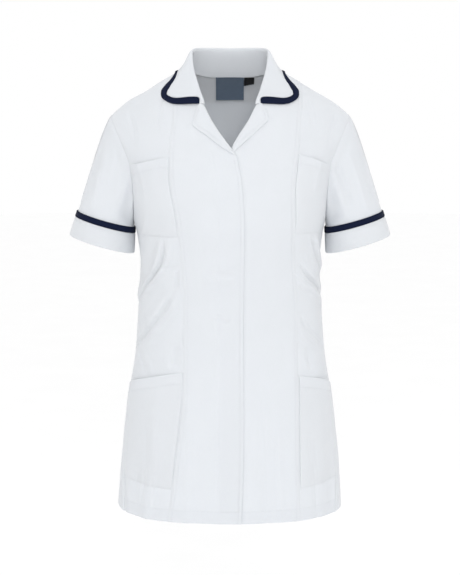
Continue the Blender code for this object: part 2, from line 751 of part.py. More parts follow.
def make_collar():
    neck, normals, roll, band, band_normals, edge, edge_normals = collar_curves()
    neck = mirrored(neck)
    normals = mirrored(normals)
    roll = mirrored(roll)
    band = mirrored(band)
    band_normals = mirrored(band_normals)
    edge = mirrored(edge)
    edge_normals = mirrored(edge_normals)
    along = np.gradient(roll, axis=0)
    across = unit(np.cross(along, roll - neck))
    across = across * np.sign(np.sum(across * normals, axis=-1, keepdims=True))
    inward = edge_frame(neck, normals, roll)
    start = neck + inward * COLLAR_SEAM_GAP - across * FACED_CLOTH
    end = band + band_normals * COLLAR_LIFT
    fall = end - roll
    length = np.linalg.norm(fall, axis=-1, keepdims=True)
    arrive = unit(fall - band_normals * np.sum(fall * band_normals, axis=-1, keepdims=True))
    rise = roll - start
    high = np.linalg.norm(rise, axis=-1, keepdims=True)
    soft = np.minimum(1.0, high / 25.0)
    stand = (start, start + rise * 0.4, roll - across * ROLL_STAND * soft, roll)
    over_roll = roll + across * ROLL_FALL * (0.35 + 0.65 * soft)
    over = (roll, over_roll, end - arrive * length * 0.4 + band_normals * FALL_PUFF, end)
    path = [bezier(stand, t) for t in STAND_STEPS] + [bezier(over, t) for t in FALL_STEPS]
    face = np.stack(path, axis=1)
    face_normals = grid_normals(face, False)
    middle = len(face) // 2
    if face_normals[middle, -1, 2] < 0:
        face_normals = -face_normals
    under = face - face_normals * FACED_CLOTH
    face = pull_in(face, face_normals, SEAM, ("last",))
    under = pull_in(under, face_normals, SEAM, ("last",))
    wall("collar", face, under, WHITE_CLOTH)

    kept = slice(1, -1)
    inner_line = (band + band_normals * (COLLAR_LIFT + 0.3))[kept]
    outer_line = (edge + edge_normals * (COLLAR_LIFT + 0.3))[kept]
    middle_line = (inner_line + outer_line) / 2
    band_face = np.stack([inner_line, middle_line, outer_line], axis=1)
    normals_here = np.stack([band_normals[kept], unit(band_normals + edge_normals)[kept], edge_normals[kept]], axis=1)
    band_under = band_face - normals_here * TRIM_CLOTH
    for edges, amount in ((("first",), SEAM), (("top", "bottom"), BAND_END_GAP)):
        band_face = pull_in(band_face, normals_here, amount, edges)
        band_under = pull_in(band_under, normals_here, amount, edges)
    wall("collar_band", band_face, band_under, NAVY_TRIM)


# Each lapel from the gorge to the break: a row on the roll line and a place on its edge.
LapelLine = namedtuple("LapelLine", "roll_row edge_x edge_z")
LAPEL_RIGHT = (
    LapelLine(-80.6, 50.5, -56.2),
    LapelLine(-84, 55, -66),
    LapelLine(-88, 57.5, -77),
    LapelLine(-92, 60, -86.5),
    LapelLine(-97, 53, -93),
    LapelLine(-103, 42, -100),
    LapelLine(-109, 31, -108),
    LapelLine(-116, 20, -116.5),
    LapelLine(-122, 10, -123.5),
    LapelLine(-127, 2, -128.5),
)
LAPEL_LEFT = (
    LapelLine(-80.6, 52.0, -55.8),
    LapelLine(-84, 57, -65),
    LapelLine(-88, 60.5, -75),
    LapelLine(-92, 60, -81),
    LapelLine(-96, 54, -86.5),
    LapelLine(-101, 44, -95),
    LapelLine(-107, 34, -104),
    LapelLine(-113, 25, -112),
    LapelLine(-119, 17.5, -118.5),
    LapelLine(-123, 13, -122),
)
LAPEL_FOLD_RADIUS = 1.7
LAPEL_TURN_IN = 9.0
LAPEL_PUFF = 1.2
LAPEL_COLUMNS = 4


def make_lapels():
    """The faced lapels: each hooks round its front's roll edge and lies folded back on it."""
    for side, name, table in ((-1, "lapel_right", LAPEL_RIGHT), (1, "lapel_left", LAPEL_LEFT)):
        rows = np.array([line.roll_row for line in table], float)
        turn = front_edge(side, rows)
        edge_x = side * np.array([line.edge_x for line in table], float)
        edge_z = np.array([line.edge_z for line in table], float)
        edge_turn_at, edge_row = seek(edge_x, edge_z, [0, 2], edge_x / 2.2, edge_z - 10)
        edge_at = body(turn, rows)
        normals = body_normal(turn, rows)
        within = body(turn + side * 3, rows)
        away = -edge_frame(edge_at, normals, within)
        sink = fly_sink(turn, rows) if side > 0 else 0 * turn
        centre = edge_at - normals * (sink[:, None] + CLOTH / 2)
        hook = ease((rows - (BREAK + 6)) / 26.0)[:, None]
        small = LAPEL_FOLD_RADIUS
        large = small + LAPEL_CLOTH
        face = []
        under = []
        for share in (-0.5, 0.0, 1 / 3, 2 / 3):
            bend = np.radians(-90 * hook + (90 + 90 * hook) * max(share, 0.0))
            direction = away * np.cos(bend) + normals * np.sin(bend)
            trail = away * np.sin(bend) - normals * np.cos(bend)
            back = (1.2 + LAPEL_TURN_IN * hook) if share < 0 else 0.0
            face.append(centre + direction * large + trail * back)
            under.append(centre + direction * small + trail * back)
        for share in np.linspace(0, 1, LAPEL_COLUMNS + 1):
            turn_here = turn + (edge_turn_at - turn) * share
            row_here = rows + (edge_row - rows) * share
            lying = body(turn_here, row_here)
            normal_here = body_normal(turn_here, row_here)
            sink_here = fly_sink(turn_here, row_here) if side > 0 else 0 * turn_here
            low = (small - CLOTH / 2) * (1 - share) + LAYER_GAP * share
            lift = low + LAPEL_PUFF * math.sin(math.pi * share) - sink_here
            under.append(lying + normal_here * lift[:, None])
            face.append(lying + normal_here * (lift + LAPEL_CLOTH)[:, None])
        wall(name, np.stack(face, axis=1), np.stack(under, axis=1), WHITE_CLOTH)


# Patch pockets, caught in the seams at their sides: rows of their edges, how their mouths
# curve down outwards, how far the outer edge reaches in panel columns, and how far the
# mouth stands open.
Pocket = namedtuple("Pocket", "name side top_inner top_outer curve bottom_inner bottom_outer reach gape")
POCKETS = (
    Pocket("breast_pocket_right", -1, -136, -152, 1.5, -262, -266, 6.45, 2.6),
    Pocket("breast_pocket_left", 1, -130, -150, 1.5, -258, -262, 6.15, 2.6),
    Pocket("hip_pocket_right", -1, -479, -515, 1.25, -667, -662, 6.85, 4.6),
    Pocket("hip_pocket_left", 1, -487, -516, 1.25, -668, -662, 6.85, 4.6),
)
POCKET_START = 0.12
POCKET_ROWS = 10
POCKET_LIFT = 0.9
POCKET_GAPE_DEPTH = 40.0


def between(grid, down, across):
    """Points of a grid at counts of rows and columns that may lie between its own."""
    low = np.clip(np.floor(down).astype(int), 0, grid.shape[0] - 2)
    left = np.clip(np.floor(across).astype(int), 0, grid.shape[1] - 2)
    t = (down - low)[..., None]
    s = (across - left)[..., None]
    upper = grid[low, left] * (1 - s) + grid[low, left + 1] * s
    lower = grid[low + 1, left] * (1 - s) + grid[low + 1, left + 1] * s
    return upper * (1 - t) + lower * t


def make_pockets(side_fronts):
    for pocket in POCKETS:
        laid = side_fronts[pocket.side]
        columns = np.concatenate([[POCKET_START], np.arange(1, math.ceil(pocket.reach)), [pocket.reach]])
        share = (columns - POCKET_START) / (pocket.reach - POCKET_START)
        down = np.linspace(0, 1, POCKET_ROWS + 1)[:, None]
        top = pocket.top_inner + (pocket.top_outer - pocket.top_inner) * share ** pocket.curve
        bottom = pocket.bottom_inner + (pocket.bottom_outer - pocket.bottom_inner) * share
        row = top + (bottom - top) * down
        counts = np.arange(laid.row.shape[0], dtype=float)
        level = np.zeros(row.shape)
        for index, place in enumerate(columns):
            rows_here = between(laid.row[..., None], counts, place + 0 * counts)[..., 0]
            level[:, index] = np.interp(-row[:, index], -rows_here, counts)
        across = columns + 0 * row
        points = between(laid.points, level, across)
        normals = unit(between(laid.normals, level, across))
        mouth = np.exp(-((top - row) / POCKET_GAPE_DEPTH) ** 2)
        lift = (POCKET_LIFT + pocket.gape * mouth * np.sin(math.pi * share ** 1.3))[..., None]
        wall(pocket.name, points + normals * (lift + POCKET_CLOTH), points + normals * lift, WHITE_CLOTH)


# Labels hanging inside the back neck: how far across and down they reach.
Label = namedtuple("Label", "name x0 x1 top bottom0 bottom1 finish")
LABELS = (
    Label("neck_label", -24.0, 23.6, -12.0, -50.0, -50.0, SLATE_LABEL),
    Label("size_tag", 24.2, 41.0, -12.0, -25.0, -22.0, BLACK_TAG),
)
LABEL_GAP = 1.2
LABEL_DROP = 1.6


def make_labels():
    for label in LABELS:
        across = np.linspace(0, 1, 5)[None, :]
        down = np.linspace(0, 1, 5)[:, None]
        x = label.x0 + (label.x1 - label.x0) * across + 0 * down
        bottom = label.bottom0 + (label.bottom1 - label.bottom0) * across
        z = label.top + (bottom - label.top) * down
        turn, row = seek(x, z, [0, 2], 180 - x / 1.6, -75 + 0 * z)
        lift = -(CLOTH + LABEL_GAP + LABEL_DROP * down)
        panel(label.name, turn, row, label.finish, lift=lift, thick=LABEL_CLOTH, edges=())


# The zip behind the fly: strips by their turns, rows, depth under the surface and thickness.
Strip = namedtuple("Strip", "name turn0 turn1 row0 row1 depth thick")
ZIP_STRIPS = (
    Strip("zip_tape_right", -6.4, -0.2, -139, -708, 2.05, 0.9),
    Strip("zip_tape_left", 2.8, 7.6, -139, -708, 2.05, 0.9),
    Strip("zip_chain", 0.1, 2.5, -151, -704, 3.6, 1.8),
)
SLIDER_DEPTH = 2.2
SLIDER_ROWS = ((-138.5, 4.8), (-150.0, 4.8), (-150.6, 0.9), (-163.0, 0.9))


def make_zip():
    for strip in ZIP_STRIPS:
        within = [row for row in all_rows() if strip.row1 + 5 < row < strip.row0 - 5]
        rows = np.array([strip.row0, *within, strip.row1])[:, None]
        turn = np.linspace(strip.turn0, strip.turn1, 3)[None, :] + 0 * rows
        row = rows + 0 * turn
        panel(strip.name, turn, row, ZIP_WHITE, lift=-strip.depth, thick=strip.thick, edges=())
    rows = np.array([row for row, _ in SLIDER_ROWS])[:, None]
    thick = np.array([thick for _, thick in SLIDER_ROWS])[:, None]
    turn = np.linspace(0.15, 2.45, 3)[None, :] + 0 * rows
    lift = -SLIDER_DEPTH
    panel("zip_slider", turn, rows + 0 * turn, ZIP_WHITE, lift=lift, thick=thick + 0 * turn, edges=())


def remove_all():
    for thing in list(bpy.data.objects):
        bpy.data.objects.remove(thing)


remove_all()
TUNIC = collection("medical_tunic")
make_fronts()
SIDE_FRONTS = make_side_fronts()
make_back()
make_sleeves()
make_cuffs()
make_collar()
make_lapels()
make_pockets(SIDE_FRONTS)
make_labels()
make_zip()
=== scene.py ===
"""Looks of a short-sleeved medical tunic, filled out as worn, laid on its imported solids.

Sizes are millimetres and degrees until mesh_piece() turns them into metres.
X runs to the wearer's left, the front faces -Y and Z points up.
A place on the body is a turn, in degrees round from the centre front towards
the wearer's left, and a row, which is the height below the neck points.
"""
import math
from collections import namedtuple

import bpy
import numpy as np
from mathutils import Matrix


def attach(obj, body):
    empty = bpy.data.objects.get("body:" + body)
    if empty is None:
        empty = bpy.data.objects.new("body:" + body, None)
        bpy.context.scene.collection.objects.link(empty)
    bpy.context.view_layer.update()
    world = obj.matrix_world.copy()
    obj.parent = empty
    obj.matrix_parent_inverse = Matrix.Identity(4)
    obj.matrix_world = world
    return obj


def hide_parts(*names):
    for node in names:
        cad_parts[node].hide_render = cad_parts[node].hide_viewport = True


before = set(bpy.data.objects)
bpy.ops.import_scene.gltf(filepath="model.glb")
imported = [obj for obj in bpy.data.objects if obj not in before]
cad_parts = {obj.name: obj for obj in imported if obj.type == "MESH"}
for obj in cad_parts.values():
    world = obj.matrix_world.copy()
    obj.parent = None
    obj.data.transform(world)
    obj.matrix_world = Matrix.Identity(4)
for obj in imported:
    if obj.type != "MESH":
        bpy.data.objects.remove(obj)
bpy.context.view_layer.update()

MM = 0.001
HEM = -720.0
CHEST = -150.0
UNDERARM = -241.0
GORGE = -79.0
BREAK = -128.0
FLY_TOP = -137.0
NECK_HALF_WIDTH = 78.0
SHOULDER_HALF_WIDTH = 192.0
CHEST_HALF_WIDTH = 172.0
SHOULDER_REACH = 222.0
# Cloth of 0.35 mm is drawn 0.9 mm thick, so that its edges show at the photograph's size.
CLOTH = 0.9
FACED_CLOTH = 1.6
# The solids' cloth, whose middle the turned-back layers are worked out from.
SOLID_CLOTH = 1.6
SEAM = 0.3

Section = namedtuple("Section", "row half_width front back squareness")
BODY_SECTIONS = (
    Section(-720, 187.0, 136, 130, 2.35),
    Section(-640, 181.0, 133, 126, 2.35),
    Section(-560, 172.0, 127, 118, 2.35),
    Section(-500, 162.5, 120, 109, 2.35),
    Section(-440, 154.5, 114, 100, 2.30),
    Section(-380, 150.0, 113, 95, 2.30),
    Section(-310, 147.5, 120, 96, 2.30),
    Section(-240, 156.0, 127, 102, 2.25),
    Section(-150, 172.0, 110, 106, 2.20),
)

ShoulderPoint = namedtuple("ShoulderPoint", "x y z")
SHOULDER_LINE = (
    ShoulderPoint(0, 12, 14),
    ShoulderPoint(78, 6, -2),
    ShoulderPoint(140, 8, -37),
    ShoulderPoint(172, 9, -56),
    ShoulderPoint(190, 10, -71),
    ShoulderPoint(205, 10, -89),
    ShoulderPoint(222, 10, -114),
)

# How full the surface swells between the chest and the shoulder line.
Fullness = namedtuple("Fullness", "front side back")
FULLNESS = Fullness(1.05, 1.05, 1.90)
# How far to each side of the middle the shoulder line rounds over level.
MIDDLE_ROUNDING = 18.0

# The edge of each front: neck seam, roll line, then fly edge or zip edge.
EdgePoint = namedtuple("EdgePoint", "row turn")
ROLL_EDGE = (
    EdgePoint(0, 30.5),
    EdgePoint(-26, 29.3),
    EdgePoint(-52, 26.0),
    EdgePoint(GORGE, 20.3),
    EdgePoint(-98, 15.2),
    EdgePoint(-113, 8.8),
    EdgePoint(BREAK, 0.8),
)
# The wearer's left roll line meets the right one above the break, then runs on to the zip.
ROLL_EDGE_LEFT = (*ROLL_EDGE[:-1], EdgePoint(BREAK, 2.3))
FLY_EDGE = (
    EdgePoint(-137, 5.5),
    EdgePoint(-160, 7.8),
    EdgePoint(-208, 9.5),
    EdgePoint(-268, 10.0),
    EdgePoint(-560, 9.6),
    EdgePoint(-680, 8.2),
    EdgePoint(HEM, 7.5),
)
ZIP_EDGE = (
    EdgePoint(-137, 3.4),
    EdgePoint(HEM, 3.4),
)

PRINCESS_RIGHT = (
    EdgePoint(0, 36.0),
    EdgePoint(-74, 38.5),
    EdgePoint(-130, 45.5),
    EdgePoint(-176, 43.5),
    EdgePoint(-222, 37.8),
    EdgePoint(-318, 35.0),
    EdgePoint(-442, 35.5),
    EdgePoint(-510, 33.5),
    EdgePoint(-614, 35.5),
    EdgePoint(HEM, 39.5),
)
PRINCESS_LEFT = (
    EdgePoint(0, 42.0),
    EdgePoint(-69, 46.5),
    EdgePoint(-135, 50.0),
    EdgePoint(-188, 46.0),
    EdgePoint(-266, 45.5),
    EdgePoint(-376, 51.5),
    EdgePoint(-488, 49.0),
    EdgePoint(-584, 45.5),
    EdgePoint(HEM, 44.0),
)
SIDE_SEAM = (
    EdgePoint(UNDERARM, 90.0),
    EdgePoint(-400, 89.0),
    EdgePoint(-520, 87.0),
    EdgePoint(-600, 79.0),
    EdgePoint(HEM, 71.0),
)

# The vents in the side seams, and how far they stand open at the hem.
VENT_TOP = -650.0
VENT_TURN = 1.5

# The armhole as it shows from the side, from the shoulder round to the underarm.
SidePoint = namedtuple("SidePoint", "y z")
ARMHOLE_FRONT = (
    SidePoint(-12, -88),
    SidePoint(-32, -114),
    SidePoint(-42, -146),
    SidePoint(-43, -182),
    SidePoint(-35, -214),
    SidePoint(-19, -235),
    SidePoint(0, UNDERARM),
)
ARMHOLE_BACK = (
    SidePoint(30, -92),
    SidePoint(44, -118),
    SidePoint(51, -150),
    SidePoint(50, -186),
    SidePoint(40, -218),
    SidePoint(21, -236),
    SidePoint(0, UNDERARM),
)

ARM_ROWS = (0, -20, -40, -60, GORGE, -92, -103, -113, -121, BREAK, -137, -160, -185, -212, UNDERARM)

BACK_NECK_SHARE = 0.25

NECK_BACK_DEPTH = 65.0
NECK_POINT_Y = 6.0

# How far the wearer's left front sinks under the fly, and over which turns.
FLY_SINK = 3.4
FLY_SINK_START = 5.5
FLY_SINK_REACH = 9.0

# Broad folds from one place on the body to another: how wide, and how far out or in.
Fold = namedtuple("Fold", "turn0 row0 turn1 row1 width depth")
FOLD_FADE = 4
FOLDS = (
    Fold(-45, -262, -62, -330, 15, 3.0),
    Fold(-62, -330, -96, -378, 17, 3.0),
    Fold(-56, -280, -80, -350, 16, -2.2),
    Fold(-40, -346, -68, -418, 20, 2.0),
    Fold(51, -312, 88, -366, 16, 3.2),
    Fold(58, -272, 86, -336, 16, 2.4),
    Fold(54, -336, 84, -398, 18, -2.0),
    Fold(58, -440, 62, -486, 14, -2.0),
    Fold(-41, -430, -41, -478, 12, -2.0),
    Fold(-50, -540, -49, -640, 16, 2.6),
    Fold(-50, -640, -53, -720, 13, 3.2),
    Fold(-60, -640, -62, -720, 16, -2.6),
    Fold(-118, -300, -150, -352, 20, -2.6),
    Fold(118, -306, 148, -360, 20, -2.6),
    Fold(-128, -350, -160, -392, 18, 2.2),
    Fold(126, -356, 158, -398, 18, 2.2),
    Fold(-140, -560, -138, -720, 26, 3.0),
    Fold(142, -575, 140, -720, 26, 3.0),
    Fold(178, -600, 176, -720, 30, -2.6),
    Fold(-20, -600, -19, -720, 28, -2.0),
    Fold(28, -610, 29, -720, 26, -2.0),
    Fold(66, -600, 66, -720, 22, -2.4),
)


def smooth(places, values, at):
    """A smooth curve through a table, with plain slopes at its ends."""
    places = np.asarray(places, float)
    values = np.asarray(values, float)
    if places[0] > places[-1]:
        places = places[::-1]
        values = values[::-1]
    slopes = np.gradient(values, places)
    at = np.clip(np.asarray(at, float), places[0], places[-1])
    low = np.clip(np.searchsorted(places, at) - 1, 0, len(places) - 2)
    span = places[low + 1] - places[low]
    t = (at - places[low]) / span
    start = (1 + 2 * t) * (1 - t) ** 2 * values[low] + t * (1 - t) ** 2 * span * slopes[low]
    end = t * t * (3 - 2 * t) * values[low + 1] - t * t * (1 - t) * span * slopes[low + 1]
    return start + end


def column(table, key, field, at):
    """One column of a table as a smooth curve over another column."""
    return smooth([getattr(row, key) for row in table], [getattr(row, field) for row in table], at)


def ease(value):
    """A soft step from 0 to 1."""
    value = np.clip(value, 0.0, 1.0)
    return value * value * (3 - 2 * value)


def unit(vectors):
    """Directions alone, each of length 1."""
    return vectors / np.linalg.norm(vectors, axis=-1, keepdims=True)


def run_of(points, axis=0):
    """How far along a run of points, or along each run of a grid, every point lies."""
    steps = np.linalg.norm(np.diff(points, axis=axis), axis=-1)
    start = np.zeros_like(np.take(steps, [0], axis=axis))
    return np.concatenate([start, np.cumsum(steps, axis=axis)], axis=axis)


def body_section(angle, row):
    """A level section of the body, as x and y at an angle round it."""
    half_width = column(BODY_SECTIONS, "row", "half_width", row)
    front = column(BODY_SECTIONS, "row", "front", row)
    back = column(BODY_SECTIONS, "row", "back", row)
    power = column(BODY_SECTIONS, "row", "squareness", row)
    depth = np.where(np.cos(angle) >= 0, front, back)
    across = np.abs(np.sin(angle) / half_width) ** power
    along = np.abs(np.cos(angle) / depth) ** power
    radius = (across + along) ** (-1 / power)
    return radius * np.sin(angle), -radius * np.cos(angle)


def plain_body(turn, row):
    """The body without folds: level sections, then columns up to the shoulder line."""
    angle = np.radians(np.asarray(turn, float))
    row = np.asarray(row, float) + 0 * angle
    angle = angle + 0 * row
    low = np.minimum(row, CHEST)
    slope_step = 4.0
    x0, y0 = body_section(angle, low)
    x_under, y_under = body_section(angle, low - slope_step)
    t = np.clip((row - CHEST) / -CHEST, 0, 1)
    x1 = SHOULDER_REACH / CHEST_HALF_WIDTH * x0
    # The shoulder line rounds over level at the middle.
    out = np.abs(x1)
    out = np.where(out < MIDDLE_ROUNDING, (out ** 2 / MIDDLE_ROUNDING + MIDDLE_ROUNDING) / 2, out)
    y1 = column(SHOULDER_LINE, "x", "y", out)
    z1 = column(SHOULDER_LINE, "x", "z", out)
    ahead = np.cos(angle)
    end_fullness = np.where(ahead > 0, FULLNESS.front, FULLNESS.back)
    fullness = FULLNESS.side + (end_fullness - FULLNESS.side) * ahead ** 2
    rise = fullness * (z1 - CHEST)
    leave = t * (1 - t) ** 2
    arrive = -t * t * (1 - t)
    start = (1 + 2 * t) * (1 - t) ** 2
    end = 1 - start
    x = start * x0 + end * x1 + leave * (x0 - x_under) / slope_step * rise
    y = start * y0 + end * y1 + leave * (y0 - y_under) / slope_step * rise + arrive * (y1 - y0) * fullness
    z = np.where(row < CHEST, row, start * CHEST + end * z1 + leave * rise)
    return np.stack([x, y, z], -1)


def plain_normal(turn, row):
    """The outward direction of the body without folds."""
    step = 0.25
    row = np.minimum(row, -step)
    across = plain_body(turn + step, row) - plain_body(turn - step, row)
    up = plain_body(turn, row + step) - plain_body(turn, row - step)
    return unit(np.cross(across, up))


def seek(first, second, axes, turn, row):
    """The turn and row of points given by two of their coordinates."""
    target = np.stack([first, second], -1)
    turn = np.array(turn, float)
    row = np.array(row, float)
    step = 0.01
    for _ in range(40):
        here = plain_body(turn, row)[..., axes]
        by_turn = (plain_body(turn + step, row)[..., axes] - here) / step
        by_row = (here - plain_body(turn, row - step)[..., axes]) / step
        miss = target - here
        area = by_turn[..., 0] * by_row[..., 1] - by_turn[..., 1] * by_row[..., 0]
        move_turn = (miss[..., 0] * by_row[..., 1] - miss[..., 1] * by_row[..., 0]) / area
        move_row = (by_turn[..., 0] * miss[..., 1] - by_turn[..., 1] * miss[..., 0]) / area
        turn = turn + np.clip(move_turn, -4, 4)
        row = np.minimum(row + np.clip(move_row, -8, 8), 0)
    return turn, row


# Fine creases listed along points of the body: how wide each is, and how far
# it stands out, or in. They follow the photograph in front, with like ones behind.
Crease = namedtuple("Crease", "width depth path")
CREASE_STEPS = 6
CREASE_FADE = 3.5
CREASES = (
    Crease(5.0, -5.6, ((-46, -254), (-48.5, -286), (-54.5, -316), (-72, -354), (-95, -390))),
    Crease(7.0, 2.7, ((-41, -254), (-43.5, -284), (-48.5, -312), (-64, -344), (-87, -378))),
    Crease(13.0, -1.3, ((-53, -246), (-57, -290), (-68, -330), (-90, -364))),
    Crease(4.0, -1.6, ((-35, -307), (-43.5, -310), (-52, -316))),
    Crease(4.0, -1.6, ((-39, -312), (-39.5, -330), (-40, -348))),
    Crease(7.0, -5.6, ((-39, -338), (-49, -373), (-58, -402), (-72, -432), (-90, -456))),
    Crease(8.0, 2.3, ((-38, -364), (-46, -394), (-56, -420), (-68, -446))),
    Crease(13.0, -1.0, ((-48, -346), (-60, -376), (-74, -408))),
    Crease(5.0, -1.2, ((-41.5, -438), (-42, -474))),
    Crease(6.0, -1.4, ((-77, -448), (-65, -474), (-61.5, -494))),
    Crease(7.0, 1.1, ((-71, -446), (-59.5, -472), (-56.5, -492))),
    Crease(7.0, 1.4, ((-58, -226), (-66, -256), (-82, -278))),
    Crease(5.0, -5.4, ((49, -302), (61, -330), (76, -352), (95, -376))),
    Crease(7.0, 3.4, ((46, -318), (58, -343), (73, -363), (92, -387))),
    Crease(5.0, -4.8, ((60, -262), (69, -296), (88, -344))),
    Crease(7.0, 3.2, ((65, -260), (74, -294), (92, -338))),
    Crease(8.0, 1.6, ((54, -288), (62, -308), (74, -330))),
    Crease(6.0, -2.8, ((52, -384), (63, -420), (84, -452))),
    Crease(7.0, 1.6, ((50, -404), (60, -436), (76, -462))),
    Crease(6.0, -1.2, ((58, -456), (60, -486))),
    Crease(5.0, -1.7, ((-20, -319), (-13, -317), (-5, -319), (6, -316))),
    Crease(8.0, 1.1, ((-22, -328), (-12, -329), (-3, -328), (7, -326))),
    Crease(4.5, -1.4, ((-13, -388), (-6, -391), (2, -393))),
    Crease(6.0, 0.8, ((-15, -397), (-7, -400), (2, -401))),
    Crease(5.0, -0.5, ((-14, -255), (-7, -259), (1, -257))),
    Crease(9.0, -0.6, ((-25, -200), (-22, -300), (-20, -420))),
    Crease(9.0, 1.2, ((-30, -520), (-29, -620), (-28, -720))),
    Crease(9.0, -1.2, ((22, -500), (24, -610), (24, -720))),
    Crease(8.0, 1.3, ((32, -560), (33, -640), (33, -720))),
    Crease(7.0, -1.1, ((-55, -545), (-54, -640), (-58, -720))),
    Crease(6.0, 1.1, ((-49, -560), (-48, -650), (-52, -720))),
    Crease(8.0, -1.6, ((52, -560), (54, -640), (55, -720))),
    Crease(7.0, 1.2, ((74, -520), (72, -600), (70, -720))),
    Crease(7.0, -1.1, ((-78, -520), (-74, -600), (-70, -720))),
    Crease(7.0, 1.2, ((-68, -140), (-62, -176), (-60, -210))),
    Crease(7.0, 1.2, ((66, -138), (62, -170), (60, -204))),
    Crease(7.0, -1.1, ((-60, -30), (-62, -80), (-66, -120))),
    Crease(7.0, -1.0, ((62, -26), (64, -72), (68, -112))),
    Crease(6.0, -1.0, ((-40, -40), (-46, -70), (-50, -96))),
    Crease(6.0, -0.9, ((46, -36), (52, -62), (56, -90))),
    Crease(6.0, -3.2, ((108, -262), (124, -308), (150, -352))),
    Crease(8.0, 2.0, ((106, -280), (122, -324), (146, -366))),
    Crease(6.0, -3.0, ((-106, -256), (-122, -300), (-148, -344))),
    Crease(8.0, 2.0, ((-104, -274), (-120, -318), (-146, -360))),
    Crease(6.0, -2.6, ((104, -330), (128, -366), (158, -392))),
    Crease(6.0, -2.4, ((-102, -336), (-126, -372), (-160, -400))),
    Crease(8.0, 1.5, ((150, -240), (162, -300), (176, -352))),
    Crease(8.0, 1.5, ((-152, -232), (-164, -296), (-178, -346))),
    Crease(7.0, -1.5, ((168, -368), (180, -376), (194, -370))),
    Crease(7.0, -1.3, ((164, -410), (178, -417), (190, -412))),
    Crease(8.0, 1.4, ((140, -100), (150, -160), (158, -220))),
    Crease(8.0, 1.4, ((-138, -104), (-150, -166), (-160, -224))),
    Crease(8.0, -1.5, ((128, -120), (134, -170), (130, -214))),
    Crease(8.0, -1.5, ((-128, -118), (-134, -168), (-131, -210))),
    Crease(10.0, 1.6, ((152, -560), (150, -640), (150, -720))),
    Crease(10.0, 1.6, ((-156, -545), (-152, -640), (-152, -720))),
    Crease(9.0, -1.6, ((166, -590), (165, -650), (164, -720))),
    Crease(9.0, -1.5, ((-170, -580), (-168, -650), (-167, -720))),
    Crease(9.0, -1.4, ((118, -580), (117, -650), (116, -720))),
    Crease(9.0, -1.4, ((-116, -570), (-115, -650), (-115, -720))),
)

# Slow waves of slack cloth: seeded, so every run gives the same ones.
SLACK_WAVES = 14
SLACK_HEIGHT = 0.16
SLACK_SHORTEST = 38.0
SLACK_LONGEST = 120.0


def slack(points):
    """Soft uneven waves over the whole garment."""
    dice = np.random.default_rng(11)
    height = np.zeros(points.shape[:-1])
    for _ in range(SLACK_WAVES):
        way = unit(dice.normal(size=3) * np.array([1.3, 1.0, 0.7]))
        length = dice.uniform(SLACK_SHORTEST, SLACK_LONGEST)
        start = dice.uniform(0, 2 * math.pi)
        height += SLACK_HEIGHT * np.sin(points @ way * 2 * math.pi / length + start)
    return height


def near_segment(points, start, end):
    """How far points lie from a straight stretch, and how far along it, from 0 to 1."""
    path = end - start
    along = np.clip((points - start) @ path / (path @ path), 0, 1)
    away = np.linalg.norm(points - start - along[..., None] * path, axis=-1)
    return away, along


def relief(points):
    """How far folds, creases and slack stand out, or in, at some points of the body."""
    height = slack(points)
    for fold in FOLDS:
        start = plain_body(fold.turn0, fold.row0)
        away, along = near_segment(points, start, plain_body(fold.turn1, fold.row1))
        fade = ease(np.minimum(along, 1 - along) * FOLD_FADE + (0.5 if fold.row1 <= HEM else 0.1))
        height += fold.depth * fade * np.exp(-(away / fold.width) ** 2 * 2)
    for crease in CREASES:
        path = np.array(crease.path, float)
        given = np.arange(len(path))
        fine = np.linspace(0, given[-1], CREASE_STEPS * given[-1] + 1)
        places = plain_body(smooth(given, path[:, 0], fine), smooth(given, path[:, 1], fine))
        low = places.min(axis=0) - 3 * crease.width
        high = places.max(axis=0) + 3 * crease.width
        near = np.all((points > low) & (points < high), axis=-1)
        if not near.any():
            continue
        here = points[near]
        last = len(places) - 2
        nearest = np.full(len(here), np.inf)
        progress = np.zeros(len(here))
        for index in range(last + 1):
            away, along = near_segment(here, places[index], places[index + 1])
            closer = away < nearest
            nearest = np.where(closer, away, nearest)
            progress = np.where(closer, (index + along) / (last + 1), progress)
        ends = np.minimum(progress, 1 - progress if path[-1, 1] > HEM else 1.0)
        height[near] += crease.depth * ease(ends * CREASE_FADE) * np.exp(-(nearest / crease.width) ** 2 * 2)
    return height


def cloth_surface(turn, row, lift=0.0):
    """The worn body's outside with its folds and creases, or a layer lifted off it."""
    points = plain_body(turn, row)
    normals = plain_normal(turn, row)
    return points + normals * (relief(points) + lift)[..., None], normals


def colour(hex_code):
    """A colour picked as the eye sees it, as the linear light a shader works in."""
    parts = [int(hex_code[start:start + 2], 16) / 255 for start in (0, 2, 4)]
    linear = [part / 12.92 if part <= 0.04045 else ((part + 0.055) / 1.055) ** 2.4 for part in parts]
    return (*linear, 1.0)


def add(material, kind, inputs=None, **settings):
    """Adds a shader node: settings are its properties, inputs its values or linked sockets."""
    made = material.node_tree.nodes.new("ShaderNode" + kind)
    for name, value in settings.items():
        setattr(made, name, value)
    for name, value in (inputs or {}).items():
        if isinstance(value, bpy.types.NodeSocket):
            material.node_tree.links.new(value, made.inputs[name])
        else:
            made.inputs[name].default_value = value
    return made


# Numbers of the colour sockets on a Mix node, whose names are shared with its other kinds.
MIX_A = 6
MIX_B = 7
MIX_RESULT = 2


def new_material(name):
    """An empty material that is built from nodes."""
    made = bpy.data.materials.new(name)
    made.use_nodes = True
    return made


def shader_of(made):
    """The surface shader of a material."""
    return made.node_tree.nodes["Principled BSDF"]


